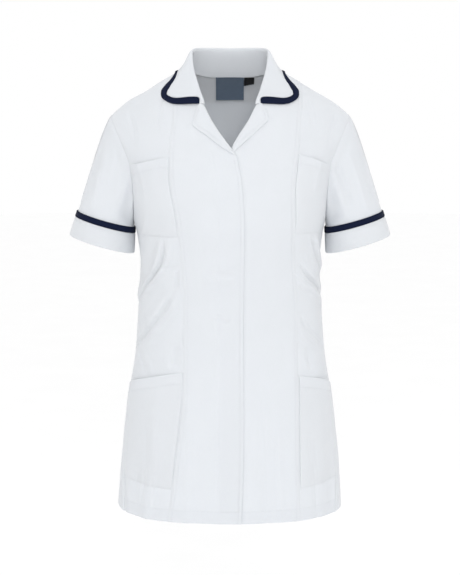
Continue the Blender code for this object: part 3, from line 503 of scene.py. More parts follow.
def grain_lines(made, grain, turn, pitch, distortion=0.0):
    """Bands of a pitch in millimetres across the grain map, turned by an angle in degrees."""
    turned = add(made, "Mapping", {"Vector": grain, "Rotation": (0.0, 0.0, math.radians(turn))})
    # A band of the Wave node repeats every 0.314 of its coordinate at a scale of 1.
    scale = math.pi / 10 / pitch
    wave = add(made, "TexWave", {
        "Vector": turned.outputs["Vector"], "Scale": scale, "Distortion": distortion, "Detail": 1.0,
        "Detail Scale": 1.5,
    })
    return wave.outputs["Fac"]


# How deep light soaks into thin cloth, in millimetres.
SOAK_DEPTH = 1.9


def woven_cloth(name, light, dark, turns, pitch, depth, roughness, sheen, patch=45.0, shine=0.5, sheer=0.0):
    """Woven cloth: two sets of yarns, slubs, slow unevenness of tone and a soft sheen.

    Turns are the angles of its yarns. Pitch, depth and patch are their spacing, their
    relief and the size of the unevenness, in millimetres. Sheer is how much light soaks in.
    """
    made = new_material(name)
    grain = add(made, "UVMap", uv_map="grain").outputs["UV"]
    across = grain_lines(made, grain, turns[0], pitch, 0.6)
    along = grain_lines(made, grain, turns[1], pitch, 0.6)
    weave = add(made, "Math", {0: across, 1: along}, operation="MULTIPLY")
    slub_place = add(made, "Mapping", {"Vector": grain, "Scale": (1.6, 0.16, 1.0)})
    slubs = add(made, "TexNoise", {"Vector": slub_place.outputs["Vector"], "Scale": 1.0, "Detail": 3.0})
    place = add(made, "TexCoord").outputs["Object"]
    patches = add(made, "TexNoise", {"Vector": place, "Scale": 1 / (patch * MM), "Detail": 2.0})
    yarn = add(made, "Math", {0: weave.outputs["Value"], 1: slubs.outputs["Fac"]}, operation="ADD")
    level = add(made, "MapRange", {
        "Value": yarn.outputs["Value"], "From Min": 0.25, "From Max": 1.35, "To Min": 0.0, "To Max": 0.88,
    })
    tone = add(made, "MapRange", {
        "Value": patches.outputs["Fac"], "From Min": 0.3, "From Max": 0.7, "To Min": 0.0, "To Max": 0.12,
    })
    share = add(made, "Math", {0: level.outputs["Result"], 1: tone.outputs["Result"]}, operation="ADD")
    mixed = add(made, "Mix", {
        "Factor": share.outputs["Value"], MIX_A: colour(dark), MIX_B: colour(light),
    }, data_type="RGBA")
    rough = add(made, "MapRange", {
        "Value": slubs.outputs["Fac"], "From Min": 0.3, "From Max": 0.7,
        "To Min": roughness - 0.06, "To Max": roughness + 0.05,
    })
    bump = add(made, "Bump", {"Height": yarn.outputs["Value"], "Strength": 0.5, "Distance": depth * MM})
    shader = shader_of(made)
    links = made.node_tree.links
    links.new(mixed.outputs[MIX_RESULT], shader.inputs["Base Color"])
    links.new(rough.outputs["Result"], shader.inputs["Roughness"])
    links.new(bump.outputs["Normal"], shader.inputs["Normal"])
    shader.inputs["Metallic"].default_value = 0.0
    shader.inputs["IOR"].default_value = 1.5
    shader.inputs["Specular IOR Level"].default_value = shine
    shader.inputs["Sheen Weight"].default_value = sheen
    shader.inputs["Sheen Roughness"].default_value = 0.5
    shader.inputs["Subsurface Weight"].default_value = sheer
    shader.inputs["Subsurface Radius"].default_value = (1.0, 1.0, 1.0)
    shader.inputs["Subsurface Scale"].default_value = SOAK_DEPTH * MM
    return made


def polyester_cotton_twill():
    """White uniform twill: a cool matt white whose fine diagonal shows only close up."""
    # The real twill line is about 0.65 mm wide; 1.1 mm is the finest that still shows.
    # Light soaks through it, so that its shaded inside stays pale.
    return woven_cloth(
        "white polyester cotton twill", "D4D7DB", "CCCFD3", turns=(52, 128), pitch=1.1, depth=0.16,
        roughness=0.82, sheen=0.06, sheer=0.55,
    )


def navy_binding_cloth():
    """Navy plain weave of the bands: nearly black in shade, with a dull blue on its ribs."""
    # Real yarns lie 0.35 mm apart; they are drawn 0.9 mm apart so that the ribs show.
    # Much light is lost between dark yarns, so it mirrors far less than smooth plastic would.
    return woven_cloth(
        "navy polyester cotton binding", "0D1935", "080F24", turns=(0, 90), pitch=0.9, depth=0.14,
        roughness=0.80, sheen=0.02, shine=0.12,
    )


def woven_label_satin():
    """Slate label: a smooth woven satin with a slight gloss along its fine lines."""
    # Its yarns lie about 0.12 mm apart; lines 0.5 mm apart are drawn, which show close up.
    return woven_cloth(
        "slate woven label satin", "5F6E7F", "4C5A6B", turns=(0, 88), pitch=0.5, depth=0.06,
        roughness=0.52, sheen=0.10, patch=9.0,
    )


def black_tag_satin():
    """The size tag: dense black satin that shines a little at its folds."""
    # It is as fine as the label, and drawn as coarse.
    return woven_cloth(
        "black woven tag satin", "121216", "0A0A0C", turns=(0, 88), pitch=0.5, depth=0.06,
        roughness=0.50, sheen=0.03, patch=9.0, shine=0.25,
    )


def zip_tape_knit():
    """Zip tape: a flat white knit, closer and smoother than the tunic's cloth."""
    # Its slanting ribs are about 0.8 mm apart, as drawn.
    return woven_cloth(
        "white knitted zip tape", "ECEFF3", "D6DBE2", turns=(20, 160), pitch=0.8, depth=0.12,
        roughness=0.70, sheen=0.06, patch=12.0,
    )


def polyester_thread():
    """Sewing thread: as white as the cloth, with its twist just catching the light."""
    # The turns of its twist are about 0.4 mm long, as drawn.
    return woven_cloth(
        "white polyester thread", "CFD2D7", "C4C8CD", turns=(35, 145), pitch=0.4, depth=0.05,
        roughness=0.60, sheen=0.10, patch=6.0,
    )


def nylon_coil():
    """Moulded nylon of the zip's coil and slider: smooth, milky and slightly glossy."""
    # Its cloudiness comes and goes over about 4 mm, which is a scale of 260 for each metre.
    made = new_material("white moulded nylon")
    place = add(made, "TexCoord").outputs["Object"]
    cloudy = add(made, "TexNoise", {"Vector": place, "Scale": 260.0, "Detail": 3.0})
    mixed = add(made, "Mix", {
        "Factor": cloudy.outputs["Fac"], MIX_A: colour("DDE1E6"), MIX_B: colour("EFF1F4"),
    }, data_type="RGBA")
    rough = add(made, "MapRange", {"Value": cloudy.outputs["Fac"], "To Min": 0.34, "To Max": 0.48})
    scuffs = add(made, "Bump", {"Height": cloudy.outputs["Fac"], "Strength": 0.15, "Distance": 0.05 * MM})
    shader = shader_of(made)
    links = made.node_tree.links
    links.new(mixed.outputs[MIX_RESULT], shader.inputs["Base Color"])
    links.new(rough.outputs["Result"], shader.inputs["Roughness"])
    links.new(scuffs.outputs["Normal"], shader.inputs["Normal"])
    shader.inputs["IOR"].default_value = 1.53
    return made


def grain_map(points):
    """Distances in millimetres across and down a grid of points, for its weave."""
    across = run_of(points, axis=1)
    down = run_of(points)
    middle = points.shape[1] // 2
    return np.stack([across - across[:, middle:middle + 1], -down], -1)


# Edges that turn more sharply than this, in degrees, are shaded as edges.
SHARP_EDGE = 55


def mesh_piece(name, points, faces, corners, material):
    """An object from points in millimetres, with the grain map at its face corners."""
    data = bpy.data.meshes.new(name)
    data.from_pydata((points * MM).tolist(), [], faces.tolist())
    layer = data.uv_layers.new(name="grain")
    layer.data.foreach_set("uv", corners.reshape(-1, 2).astype(np.float32).ravel())
    data.shade_smooth()
    data.set_sharp_from_angle(angle=math.radians(SHARP_EDGE))
    data.materials.append(material)
    data.validate()
    piece = bpy.data.objects.new(name, data)
    bpy.context.scene.collection.objects.link(piece)
    return piece


def shell(name, outer, inner, material, tube=False):
    """A closed thin shell between two grids of points, in millimetres."""
    rows, columns = outer.shape[:2]
    ring = columns - 1 if tube else columns
    grain = grain_map(outer)

    def corner(down, across, layer):
        return np.stack([layer * rows * ring + down * ring + across % ring, down * columns + across], -1)

    down, across = np.meshgrid(np.arange(rows - 1), np.arange(columns - 1), indexing="ij")
    down, across = down.ravel(), across.ravel()
    quads = []
    for layer, order in ((0, 1), (1, -1)):
        loop = [(0, 0), (0, 1), (1, 1), (1, 0)][::order]
        quads.append(np.stack([corner(down + d, across + a, layer) for d, a in loop], 1))
    rims = [(0, 1), (rows - 1, -1)]
    step = np.arange(columns - 1)
    for row, order in rims:
        loop = [(0, 0), (0, 1), (1, 1), (1, 0)][::order]
        quads.append(np.stack([corner(0 * step + row, step + a, 1 - layer) for layer, a in loop], 1))
    if not tube:
        step = np.arange(rows - 1)
        for column_at, order in ((0, -1), (columns - 1, 1)):
            loop = [(0, 0), (0, 1), (1, 1), (1, 0)][::order]
            side = 0 * step + column_at
            quads.append(np.stack([corner(step + d, side, 1 - layer) for layer, d in loop], 1))
    quads = np.concatenate(quads)
    kept = slice(0, ring)
    points = np.concatenate([outer[:, kept].reshape(-1, 3), inner[:, kept].reshape(-1, 3)])
    first = points[quads[:(rows - 1) * (columns - 1), :, 0]]
    facing = np.cross(first[:, 2] - first[:, 0], first[:, 3] - first[:, 1])
    outward = (outer - inner)[:-1, :-1].reshape(-1, 3)
    if np.sum(facing * outward) < 0:
        quads = quads[:, ::-1]
    return mesh_piece(name, points, quads[..., 0], grain.reshape(-1, 2)[quads[..., 1]], material)


def grid_normals(points, tube=False):
    """Directions square to a grid of points, all on one side of it."""
    down = np.gradient(points, axis=0)
    if tube:
        ring = points[:, :-1]
        across = np.roll(ring, -1, axis=1) - np.roll(ring, 1, axis=1)
        across = np.concatenate([across, across[:, :1]], axis=1)
        down[:, -1] = down[:, 0]
    else:
        across = np.gradient(points, axis=1)
    return unit(np.cross(across, down))


def edge_frame(points, normals, towards):
    """The in-surface direction square to an edge, on the side of some points."""
    along = np.gradient(points, axis=0)
    away = unit(np.cross(along, normals))
    return away * np.sign(np.sum(away * (towards - points), axis=-1, keepdims=True))


# Sleeve hem ring: a tilted oval, and how the sleeve narrows above it.
SLEEVE_HEM_X = 210.5
SLEEVE_HEM_Y = 1.0
SLEEVE_HEM_Z = -284.5
SLEEVE_HEM_SLOPE = 16.0
SLEEVE_LEAN = 10.4
SLEEVE_HALF_WIDTH = 53.6
SLEEVE_HALF_DEPTH = 48.0
SLEEVE_NARROWING = 0.14
SLEEVE_END = 3.6
CUFF_DEPTH = 33.0
CUFF_TURN_IN = 20.0
CUFF_CLOTH = 1.4
CUFF_GAP = 0.5
BAND_WIDTH = 10.0
SLEEVE_START = 60.0
SLEEVE_START_UNDER = 12.0


def sleeve_ring(side, angle, height, grow):
    """A point round the sleeve's lower part: the angle runs out, front, in, back."""
    slope = math.radians(SLEEVE_HEM_SLOPE)
    lean = math.radians(SLEEVE_LEAN)
    outward = np.array([side * math.cos(slope), 0.0, math.sin(slope)])
    forward = np.array([0.0, -1.0, 0.0])
    upward = np.array([-side * math.sin(lean), 0.0, math.cos(lean)])
    centre = np.array([side * SLEEVE_HEM_X, SLEEVE_HEM_Y, SLEEVE_HEM_Z])
    angle, height, grow = np.broadcast_arrays(angle, height, grow)
    angle, height, grow = angle[..., None], height[..., None], grow[..., None]
    half_width = SLEEVE_HALF_WIDTH - SLEEVE_NARROWING * height + grow
    half_depth = SLEEVE_HALF_DEPTH - SLEEVE_NARROWING * 0.5 * height + grow
    middle = centre + upward * height
    return middle + outward * half_width * np.cos(angle) + forward * half_depth * np.sin(angle)


# How high the cloth stands beside a seam, by the distance from it.
SeamShape = namedtuple("SeamShape", "away height")
LAPPED_OVER = (
    SeamShape(0, 0.05),
    SeamShape(0.4, 0.26),
    SeamShape(1.2, 0.42),
    SeamShape(2.6, 0.48),
    SeamShape(4.4, 0.43),
    SeamShape(5.2, 0.30),
    SeamShape(5.7, 0.18),
    SeamShape(6.2, 0.24),
    SeamShape(7.6, 0.20),
    SeamShape(13.0, 0.0),
)
TUCKED_UNDER = (
    SeamShape(-6.0, -1.15),
    SeamShape(-1.0, -0.85),
    SeamShape(0.0, -0.36),
    SeamShape(1.2, -0.05),
    SeamShape(3.4, 0.0),
)
PLAIN_SEAM = (
    SeamShape(0, -0.30),
    SeamShape(0.6, -0.12),
    SeamShape(1.6, 0.02),
    SeamShape(3.4, 0.10),
    SeamShape(8.0, 0.0),
)
HEM_STITCH = 20.0
TURNED_HEM = (
    SeamShape(0, -0.45),
    SeamShape(0.6, 0.0),
    SeamShape(2.0, 0.10),
    SeamShape(18.4, 0.08),
    SeamShape(19.4, -0.02),
    SeamShape(HEM_STITCH, -0.10),
    SeamShape(20.8, 0.0),
    SeamShape(23.0, 0.0),
)
# Where the columns or rows of a grid lie beside a seam, in millimetres from it.
BESIDE_SEAM = (0.0, 0.4, 1.2, 2.4, 3.8, 4.8, 5.3, 5.7, 6.1, 7.0, 8.6)
BESIDE_HEM = (23.0, 21.4, 20.6, HEM_STITCH, 19.4, 18.4, 16.0, 13.0, 10.0, 7.0, 4.0, 2.0, 1.0, 0.4, 0.0)
STITCH_COLUMN = BESIDE_SEAM.index(5.7)
HEM_STITCH_ROW = BESIDE_HEM.index(HEM_STITCH) - len(BESIDE_HEM)
# The ripples beside a seam: their height, their length and where they are strongest.
PUCKER_HEIGHT = 0.16
PUCKER_LENGTH = 10.5
PUCKER_AWAY = 4.5
PUCKER_REACH = 4.0


def seam_height(shape, away):
    """The height of the cloth at a distance from a seam of some shape."""
    return np.interp(away, [point.away for point in shape], [point.height for point in shape])


def pucker(along, away, phase):
    """Small uneven ripples that a seam's stitches draw up beside it."""
    ripple = np.sin(along * 2 * math.pi / PUCKER_LENGTH + phase + 1.3 * np.sin(along / 23.0 + phase))
    strength = 0.6 + 0.4 * np.sin(along / 61.0 + 2 * phase)
    return PUCKER_HEIGHT * ripple * strength * np.exp(-((away - PUCKER_AWAY) / PUCKER_REACH) ** 2)


# The fine rows: counts down the armhole's rows, then heights down to the hem.
ARM_COUNTS = np.concatenate([
    [0.0, 0.025, 0.06, 0.12, 0.22, 0.36, 0.52],
    np.linspace(0.7, len(ARM_ROWS) - 1, 84),
])
# Rows lie closer down to where the waist's creases end.
WAIST_CREASES_END = -468.0
BODY_HEIGHTS = np.concatenate([
    np.linspace(UNDERARM, WAIST_CREASES_END, 84)[1:],
    np.linspace(WAIST_CREASES_END, HEM + 26, 60)[1:],
    HEM + np.array(BESIDE_HEM),
])


def armhole_rows():
    """The rows of the middle of a panel beside the armhole."""
    return np.interp(ARM_COUNTS, np.arange(len(ARM_ROWS)), ARM_ROWS)


def fine_rows():
    """All the rows of a panel, from the shoulder to the hem."""
    return np.concatenate([armhole_rows(), BODY_HEIGHTS])


def edge_turn(table, row):
    """The turn of an edge at each row, from its table."""
    return column(table, "row", "turn", row)


def front_edge(side, row):
    """The turn of a front's edge at each row, for side -1 (right) or 1 (left)."""
    roll = side * edge_turn(ROLL_EDGE if side < 0 else ROLL_EDGE_LEFT, np.maximum(row, BREAK))
    closing = edge_turn(FLY_EDGE if side < 0 else ZIP_EDGE, np.minimum(row, FLY_TOP))
    share = np.clip((BREAK - row) / (BREAK - FLY_TOP), 0, 1)
    return roll * (1 - share) + closing * share


def princess(side, row):
    """The turn of a princess seam at each row."""
    return side * edge_turn(PRINCESS_RIGHT if side < 0 else PRINCESS_LEFT, row)


def shoulder_turn(x):
    """The turn at which the shoulder line passes a half width."""
    turns = np.linspace(0, 90, 181)
    return np.interp(x, plain_body(turns, 0.0)[:, 0], turns)


def armhole(side, table, ahead):
    """Turns and rows round one half of an armhole, from the shoulder down."""
    tip = shoulder_turn(SHOULDER_HALF_WIDTH)
    start = plain_body(tip, 0.0)
    ys = np.array([start[1]] + [point.y for point in table])
    zs = np.array([start[2]] + [point.z for point in table])
    length = np.concatenate([[0], np.cumsum(np.hypot(np.diff(ys), np.diff(zs)))])
    share = ARM_COUNTS / (len(ARM_ROWS) - 1)
    y = smooth(length, ys, share * length[-1])
    z = smooth(length, zs, share * length[-1])
    guess = tip + (90 - tip) * share if ahead else 180 - tip + (tip - 90) * share
    turn, row = seek(y, z, [1, 2], guess, -4 + (UNDERARM + 4) * share)
    turn[0] = tip if ahead else 180 - tip
    row[0] = 0.0
    turn[-1] = 90.0
    row[-1] = UNDERARM
    return side * turn, row


def side_edge(side, ahead):
    """A body panel's outer edge: armhole, then side seam with its vent."""
    arm_turn, arm_row = armhole(side, ARMHOLE_FRONT if ahead else ARMHOLE_BACK, ahead)
    vent = VENT_TURN / 2 * ease((VENT_TOP - BODY_HEIGHTS) / (VENT_TOP - HEM))
    seam = edge_turn(SIDE_SEAM, BODY_HEIGHTS) + (-vent if ahead else vent)
    return np.concatenate([arm_turn, side * seam]), np.concatenate([arm_row, BODY_HEIGHTS])


Spread = namedtuple("Spread", "share first last along")


def spread(turn0, row0, turn1, row1, columns, tuck=0.0):
    """Shares across a panel, row by row, close beside its seams and even between them.

    Handed back with the distances from its first edge, from its last edge and down it.
    A tuck carries the first edge on, under the piece beside it.
    """
    sample = np.linspace(0, 1, 13)
    turn = turn0[:, None] * (1 - sample) + turn1[:, None] * sample
    row = row0[:, None] * (1 - sample) + row1[:, None] * sample
    points = plain_body(turn, row)
    width = np.linalg.norm(np.diff(points, axis=1), axis=-1).sum(axis=1)[:, None]
    near = np.array(BESIDE_SEAM)[None, :] * np.minimum(1.0, 0.42 * width / BESIDE_SEAM[-1])
    middle = np.linspace(0, 1, columns + 1)[1:-1][None, :]
    far = width - near[:, ::-1]
    between = near[:, -1:] * (1 - middle) + far[:, :1] * middle
    place = np.concatenate([near, between, far], axis=1)
    if tuck:
        place = np.concatenate([0 * width - tuck, 0 * width - tuck / 2, 0 * width - 1.0, place], axis=1)
    along = run_of(points[:, 0])[:, None] + 0 * place
    return Spread(place / width, place, width - place, along)


def down_edges(shape, row):
    """The height beside the hem, from the rows of a panel."""
    return seam_height(shape, row - HEM)


def lay(turn, row, lift, thick=CLOTH):
    """Outer and inner points of cloth laid on the body at a lift."""
    outer, normals = cloth_surface(turn, row, lift)
    inner = outer - normals * np.broadcast_to(thick, turn.shape)[..., None]
    return outer, inner, normals


def pull_in(grid, amount, first=True, last=True):
    """Draws the first and last columns of a grid in, to leave a seam's width open."""
    grid = grid.copy()
    for wanted, edge, beside in ((first, 0, 2), (last, -1, -3)):
        if wanted:
            towards = unit(grid[:, beside] - grid[:, edge])
            grid[:, edge] = grid[:, edge] + towards * amount
    return grid


def hem_thickness(row):
    """A turned hem is three layers thick up to its stitching."""
    return CLOTH + 0.7 * ease((HEM + HEM_STITCH + 1.0 - row) / 1.5)


SEWN = []


def sew(points, normals, colour_name="white"):
    """Keeps a line for the stitches to run along, with the directions out of the cloth."""
    SEWN.append((np.asarray(points), np.asarray(normals), colour_name))


# A piece of cloth as it was cut, in metres: width, length and area of what shows.
Sheet = namedtuple("Sheet", "width length area held")


def dress(piece, node):
    """Puts a piece in the place of its solid, on the root, and hides the solid."""
    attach(piece, "root")
    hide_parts(node)


def fly_sink(turn, row):
    """How deep the wearer's left front lies under the right one."""
    away = turn - front_edge(-1, row)
    return FLY_SINK * (1 - ease((away + FLY_SINK_START) / FLY_SINK_REACH))


FACING_WIDTH = 42.0
FRONT_COLUMNS = 46
SIDE_FRONT_COLUMNS = 58
# How far a side front goes on under the front at the princess seam.
SIDE_FRONT_TUCK = 5.0
# Millimetres of cloth for each row down from the shoulder seam.
SHOULDER_RUN = 1.4


def make_fronts(material):
    """The two fronts, the wearer's right one with its fly over the zip."""
    rows = fine_rows()
    for side, name in ((-1, "front_right"), (1, "front_left")):
        turn0 = front_edge(side, rows)
        turn1 = princess(side, rows)
        laid = spread(turn0, rows, turn1, rows, FRONT_COLUMNS)
        turn = turn0[:, None] * (1 - laid.share) + turn1[:, None] * laid.share
        row = rows[:, None] + 0 * turn
        lift = seam_height(LAPPED_OVER, laid.last) + pucker(laid.along, laid.last, 0.4 + side)
        lift = lift + down_edges(TURNED_HEM, row)
        lift = lift + seam_height(PLAIN_SEAM, -row * SHOULDER_RUN)
        lower = ease((BREAK - row) / 12.0)
        if side > 0:
            lift = lift - fly_sink(turn, row)
            thick = hem_thickness(row)
        else:
            # The fly is a folded edge with a facing behind it, stitched down at its inner side.
            lift = lift + lower * (seam_height(LAPPED_OVER, laid.first) + pucker(laid.along, laid.first, 2.1))
            facing = 1 - ease((laid.first - FACING_WIDTH + 2.0) / 4.0)
            lift = lift + lower * (0.30 * facing - 0.30 * np.exp(-((laid.first - FACING_WIDTH) / 1.6) ** 2))
            thick = hem_thickness(row) + 0.4 * lower * facing
        outer, inner, normals = lay(turn, row, lift, thick)
        dress(shell(name + "_cloth", outer, inner, material), name)
        sew(outer[3:, -1 - STITCH_COLUMN], normals[3:, -1 - STITCH_COLUMN])
        sew(outer[HEM_STITCH_ROW], normals[HEM_STITCH_ROW])
        if side < 0:
            fly = rows < FLY_TOP - 2
            sew(outer[fly, STITCH_COLUMN], normals[fly, STITCH_COLUMN])


def make_side_fronts(material):
    """The side fronts, lapped by the fronts and open in vents at the hem."""
    rows = fine_rows()
    for side, name in ((-1, "side_front_right"), (1, "side_front_left")):
        turn0 = princess(side, rows)
        turn1, row1 = side_edge(side, True)
        laid = spread(turn0, rows, turn1, row1, SIDE_FRONT_COLUMNS, tuck=SIDE_FRONT_TUCK)
        turn = turn0[:, None] * (1 - laid.share) + turn1[:, None] * laid.share
        row = rows[:, None] * (1 - laid.share) + row1[:, None] * laid.share
        lift = seam_height(TUCKED_UNDER, laid.first) + pucker(laid.along, laid.first, 0.9 + side)
        lift = lift + seam_height(PLAIN_SEAM, laid.last) + pucker(laid.along, laid.last, 1.7 + side)
        lift = lift + down_edges(TURNED_HEM, row) + seam_height(PLAIN_SEAM, -row * SHOULDER_RUN)
        outer, inner, normals = lay(turn, row, lift, hem_thickness(row))
        outer = pull_in(outer, SEAM / 2, first=False)
        inner = pull_in(inner, SEAM / 2, first=False)
        dress(shell(name + "_cloth", outer, inner, material), name)
        sew(outer[HEM_STITCH_ROW], normals[HEM_STITCH_ROW])
        vent = BODY_HEIGHTS < VENT_TOP
        line = -1 - STITCH_COLUMN
        sew(outer[len(ARM_COUNTS):][vent, line], normals[len(ARM_COUNTS):][vent, line])


# How far round, in degrees, the back's side edges go on under the side fronts.
BACK_TUCK = 2.2
BACK_WIDTH = 500.0
BACK_SIDE_COLUMNS = 32
BACK_NECK_COLUMNS = 78


def make_back(material):
    """The back, in one panel from side seam to side seam and up to the neck."""
    rows = fine_rows()
    left_turn, left_row = side_edge(1, False)
    right_turn = 360 - left_turn
    near = np.array(BESIDE_SEAM) / BACK_WIDTH
    quarter = BACK_NECK_SHARE
    share = np.concatenate([
        near,
        np.linspace(near[-1], quarter, BACK_SIDE_COLUMNS + 1)[1:],
        np.linspace(quarter, 1 - quarter, BACK_NECK_COLUMNS + 1)[1:],
        np.linspace(1 - quarter, 1 - near[-1], BACK_SIDE_COLUMNS + 1)[1:],
        1 - near[-2::-1],
    ])
    turn = left_turn[:, None] * (1 - share) + right_turn[:, None] * share
    bend = (2 * share - 1) ** 2
    row = rows[:, None] * (1 - bend) + left_row[:, None] * bend
    middle = (share >= quarter - 1e-9) & (share <= 1 - quarter + 1e-9)
    angle = math.pi * (0.5 - (share[middle] - quarter) / (1 - 2 * quarter))
    x = NECK_HALF_WIDTH * np.sin(angle)
    y = NECK_POINT_Y + NECK_BACK_DEPTH * np.cos(angle)
    guess = np.linspace(150, 210, len(angle))
    neck_turn, neck_row = seek(x, y, [0, 1], guess, -8 - 50 * np.cos(angle))
    point = 180 - shoulder_turn(NECK_HALF_WIDTH)
    neck_turn[0], neck_turn[-1] = point, 360 - point
    neck_row[0], neck_row[-1] = 0.0, 0.0
    shoulders = [left_turn[0], point, 360 - point, right_turn[0]]
    top_turn = np.interp(share, [0, quarter, 1 - quarter, 1], shoulders)
    top_row = np.zeros(len(share))
    top_turn[middle] = neck_turn
    top_row[middle] = neck_row
    fade = np.concatenate([1 - ease(ARM_COUNTS / (len(ARM_ROWS) - 1)), 0 * BODY_HEIGHTS])[:, None]
    turn = turn + (top_turn - turn[0]) * fade
    row = row + (top_row - row[0]) * fade
    points = plain_body(turn, row)
    first = run_of(points, axis=1)
    last = first[:, -1:] - first
    along = run_of(points[:, 0])[:, None]
    top = run_of(points)
    lift = seam_height(PLAIN_SEAM, first) + seam_height(PLAIN_SEAM, last)
    lift = lift + pucker(along, first, 0.3) + pucker(along, last, 1.1)
    lift = lift + down_edges(TURNED_HEM, row) + seam_height(PLAIN_SEAM, top)
    # Below the armholes the side edges carry on under the side fronts, as a seam allowance does.
    below = np.maximum(ease((UNDERARM - 2 - rows) / 14.0), 0.02)[:, None]
    deep = below * (hem_thickness(rows)[:, None] + 0.4)
    under = np.array([1.0, 0.5, 0.15])
    tucked = BACK_TUCK * below * under
    turn = np.concatenate([turn[:, :1] - tucked, turn, turn[:, -1:] + tucked[:, ::-1]], axis=1)
    row = np.concatenate([row[:, :1] + 0 * under, row, row[:, -1:] + 0 * under], axis=1)
    lift = np.concatenate([lift[:, :1] - deep + 0 * under, lift, lift[:, -1:] - deep + 0 * under], axis=1)
    outer, inner, normals = lay(turn, row, lift, hem_thickness(row))
    outer = pull_in(outer, SEAM / 2)
    inner = pull_in(inner, SEAM / 2)
    dress(shell("back_cloth", outer, inner, material), "back")
    sew(outer[HEM_STITCH_ROW], normals[HEM_STITCH_ROW])
    vent = BODY_HEIGHTS < VENT_TOP
    for line in (STITCH_COLUMN + len(under), -1 - len(under) - STITCH_COLUMN):
        sew(outer[len(ARM_COUNTS):][vent, line], normals[len(ARM_COUNTS):][vent, line])


# Soft folds of each sleeve: the ring angle and the share of the way down at both ends.
SleeveFold = namedtuple("SleeveFold", "side angle0 down0 angle1 down1 width depth")
SLEEVE_FOLDS = (
    SleeveFold(-1, 116, 0.03, 142, 1.0, 20, -1.5),
    SleeveFold(-1, 100, 0.20, 112, 1.0, 16, 1.6),
    SleeveFold(-1, 60, 0.12, 84, 0.62, 12, -1.3),
    SleeveFold(-1, 40, 0.30, 62, 1.0, 13, 1.8),
    SleeveFold(-1, 22, 0.25, 30, 0.95, 11, -1.1),
    SleeveFold(1, 112, 0.04, 140, 1.0, 19, -1.5),
    SleeveFold(1, 74, 0.12, 92, 0.80, 12, -2.7),
    SleeveFold(1, 94, 0.24, 112, 1.0, 15, 1.5),
    SleeveFold(1, 48, 0.20, 66, 1.0, 13, 2.1),
    SleeveFold(1, 26, 0.40, 34, 1.0, 12, -2.0),
    SleeveFold(-1, 232, 0.25, 222, 1.0, 14, -2.7),
    SleeveFold(-1, 262, 0.20, 256, 0.9, 15, 2.1),
    SleeveFold(-1, 300, 0.15, 292, 1.0, 13, -2.1),
    SleeveFold(1, 228, 0.22, 220, 1.0, 14, -2.7),
    SleeveFold(1, 258, 0.25, 250, 1.0, 14, 2.2),
    SleeveFold(1, 304, 0.18, 296, 0.95, 13, -2.0),
)
SLEEVE_DOWN = (0.0, 0.004, 0.010, 0.02, 0.035, 0.05, 0.065, 0.08)


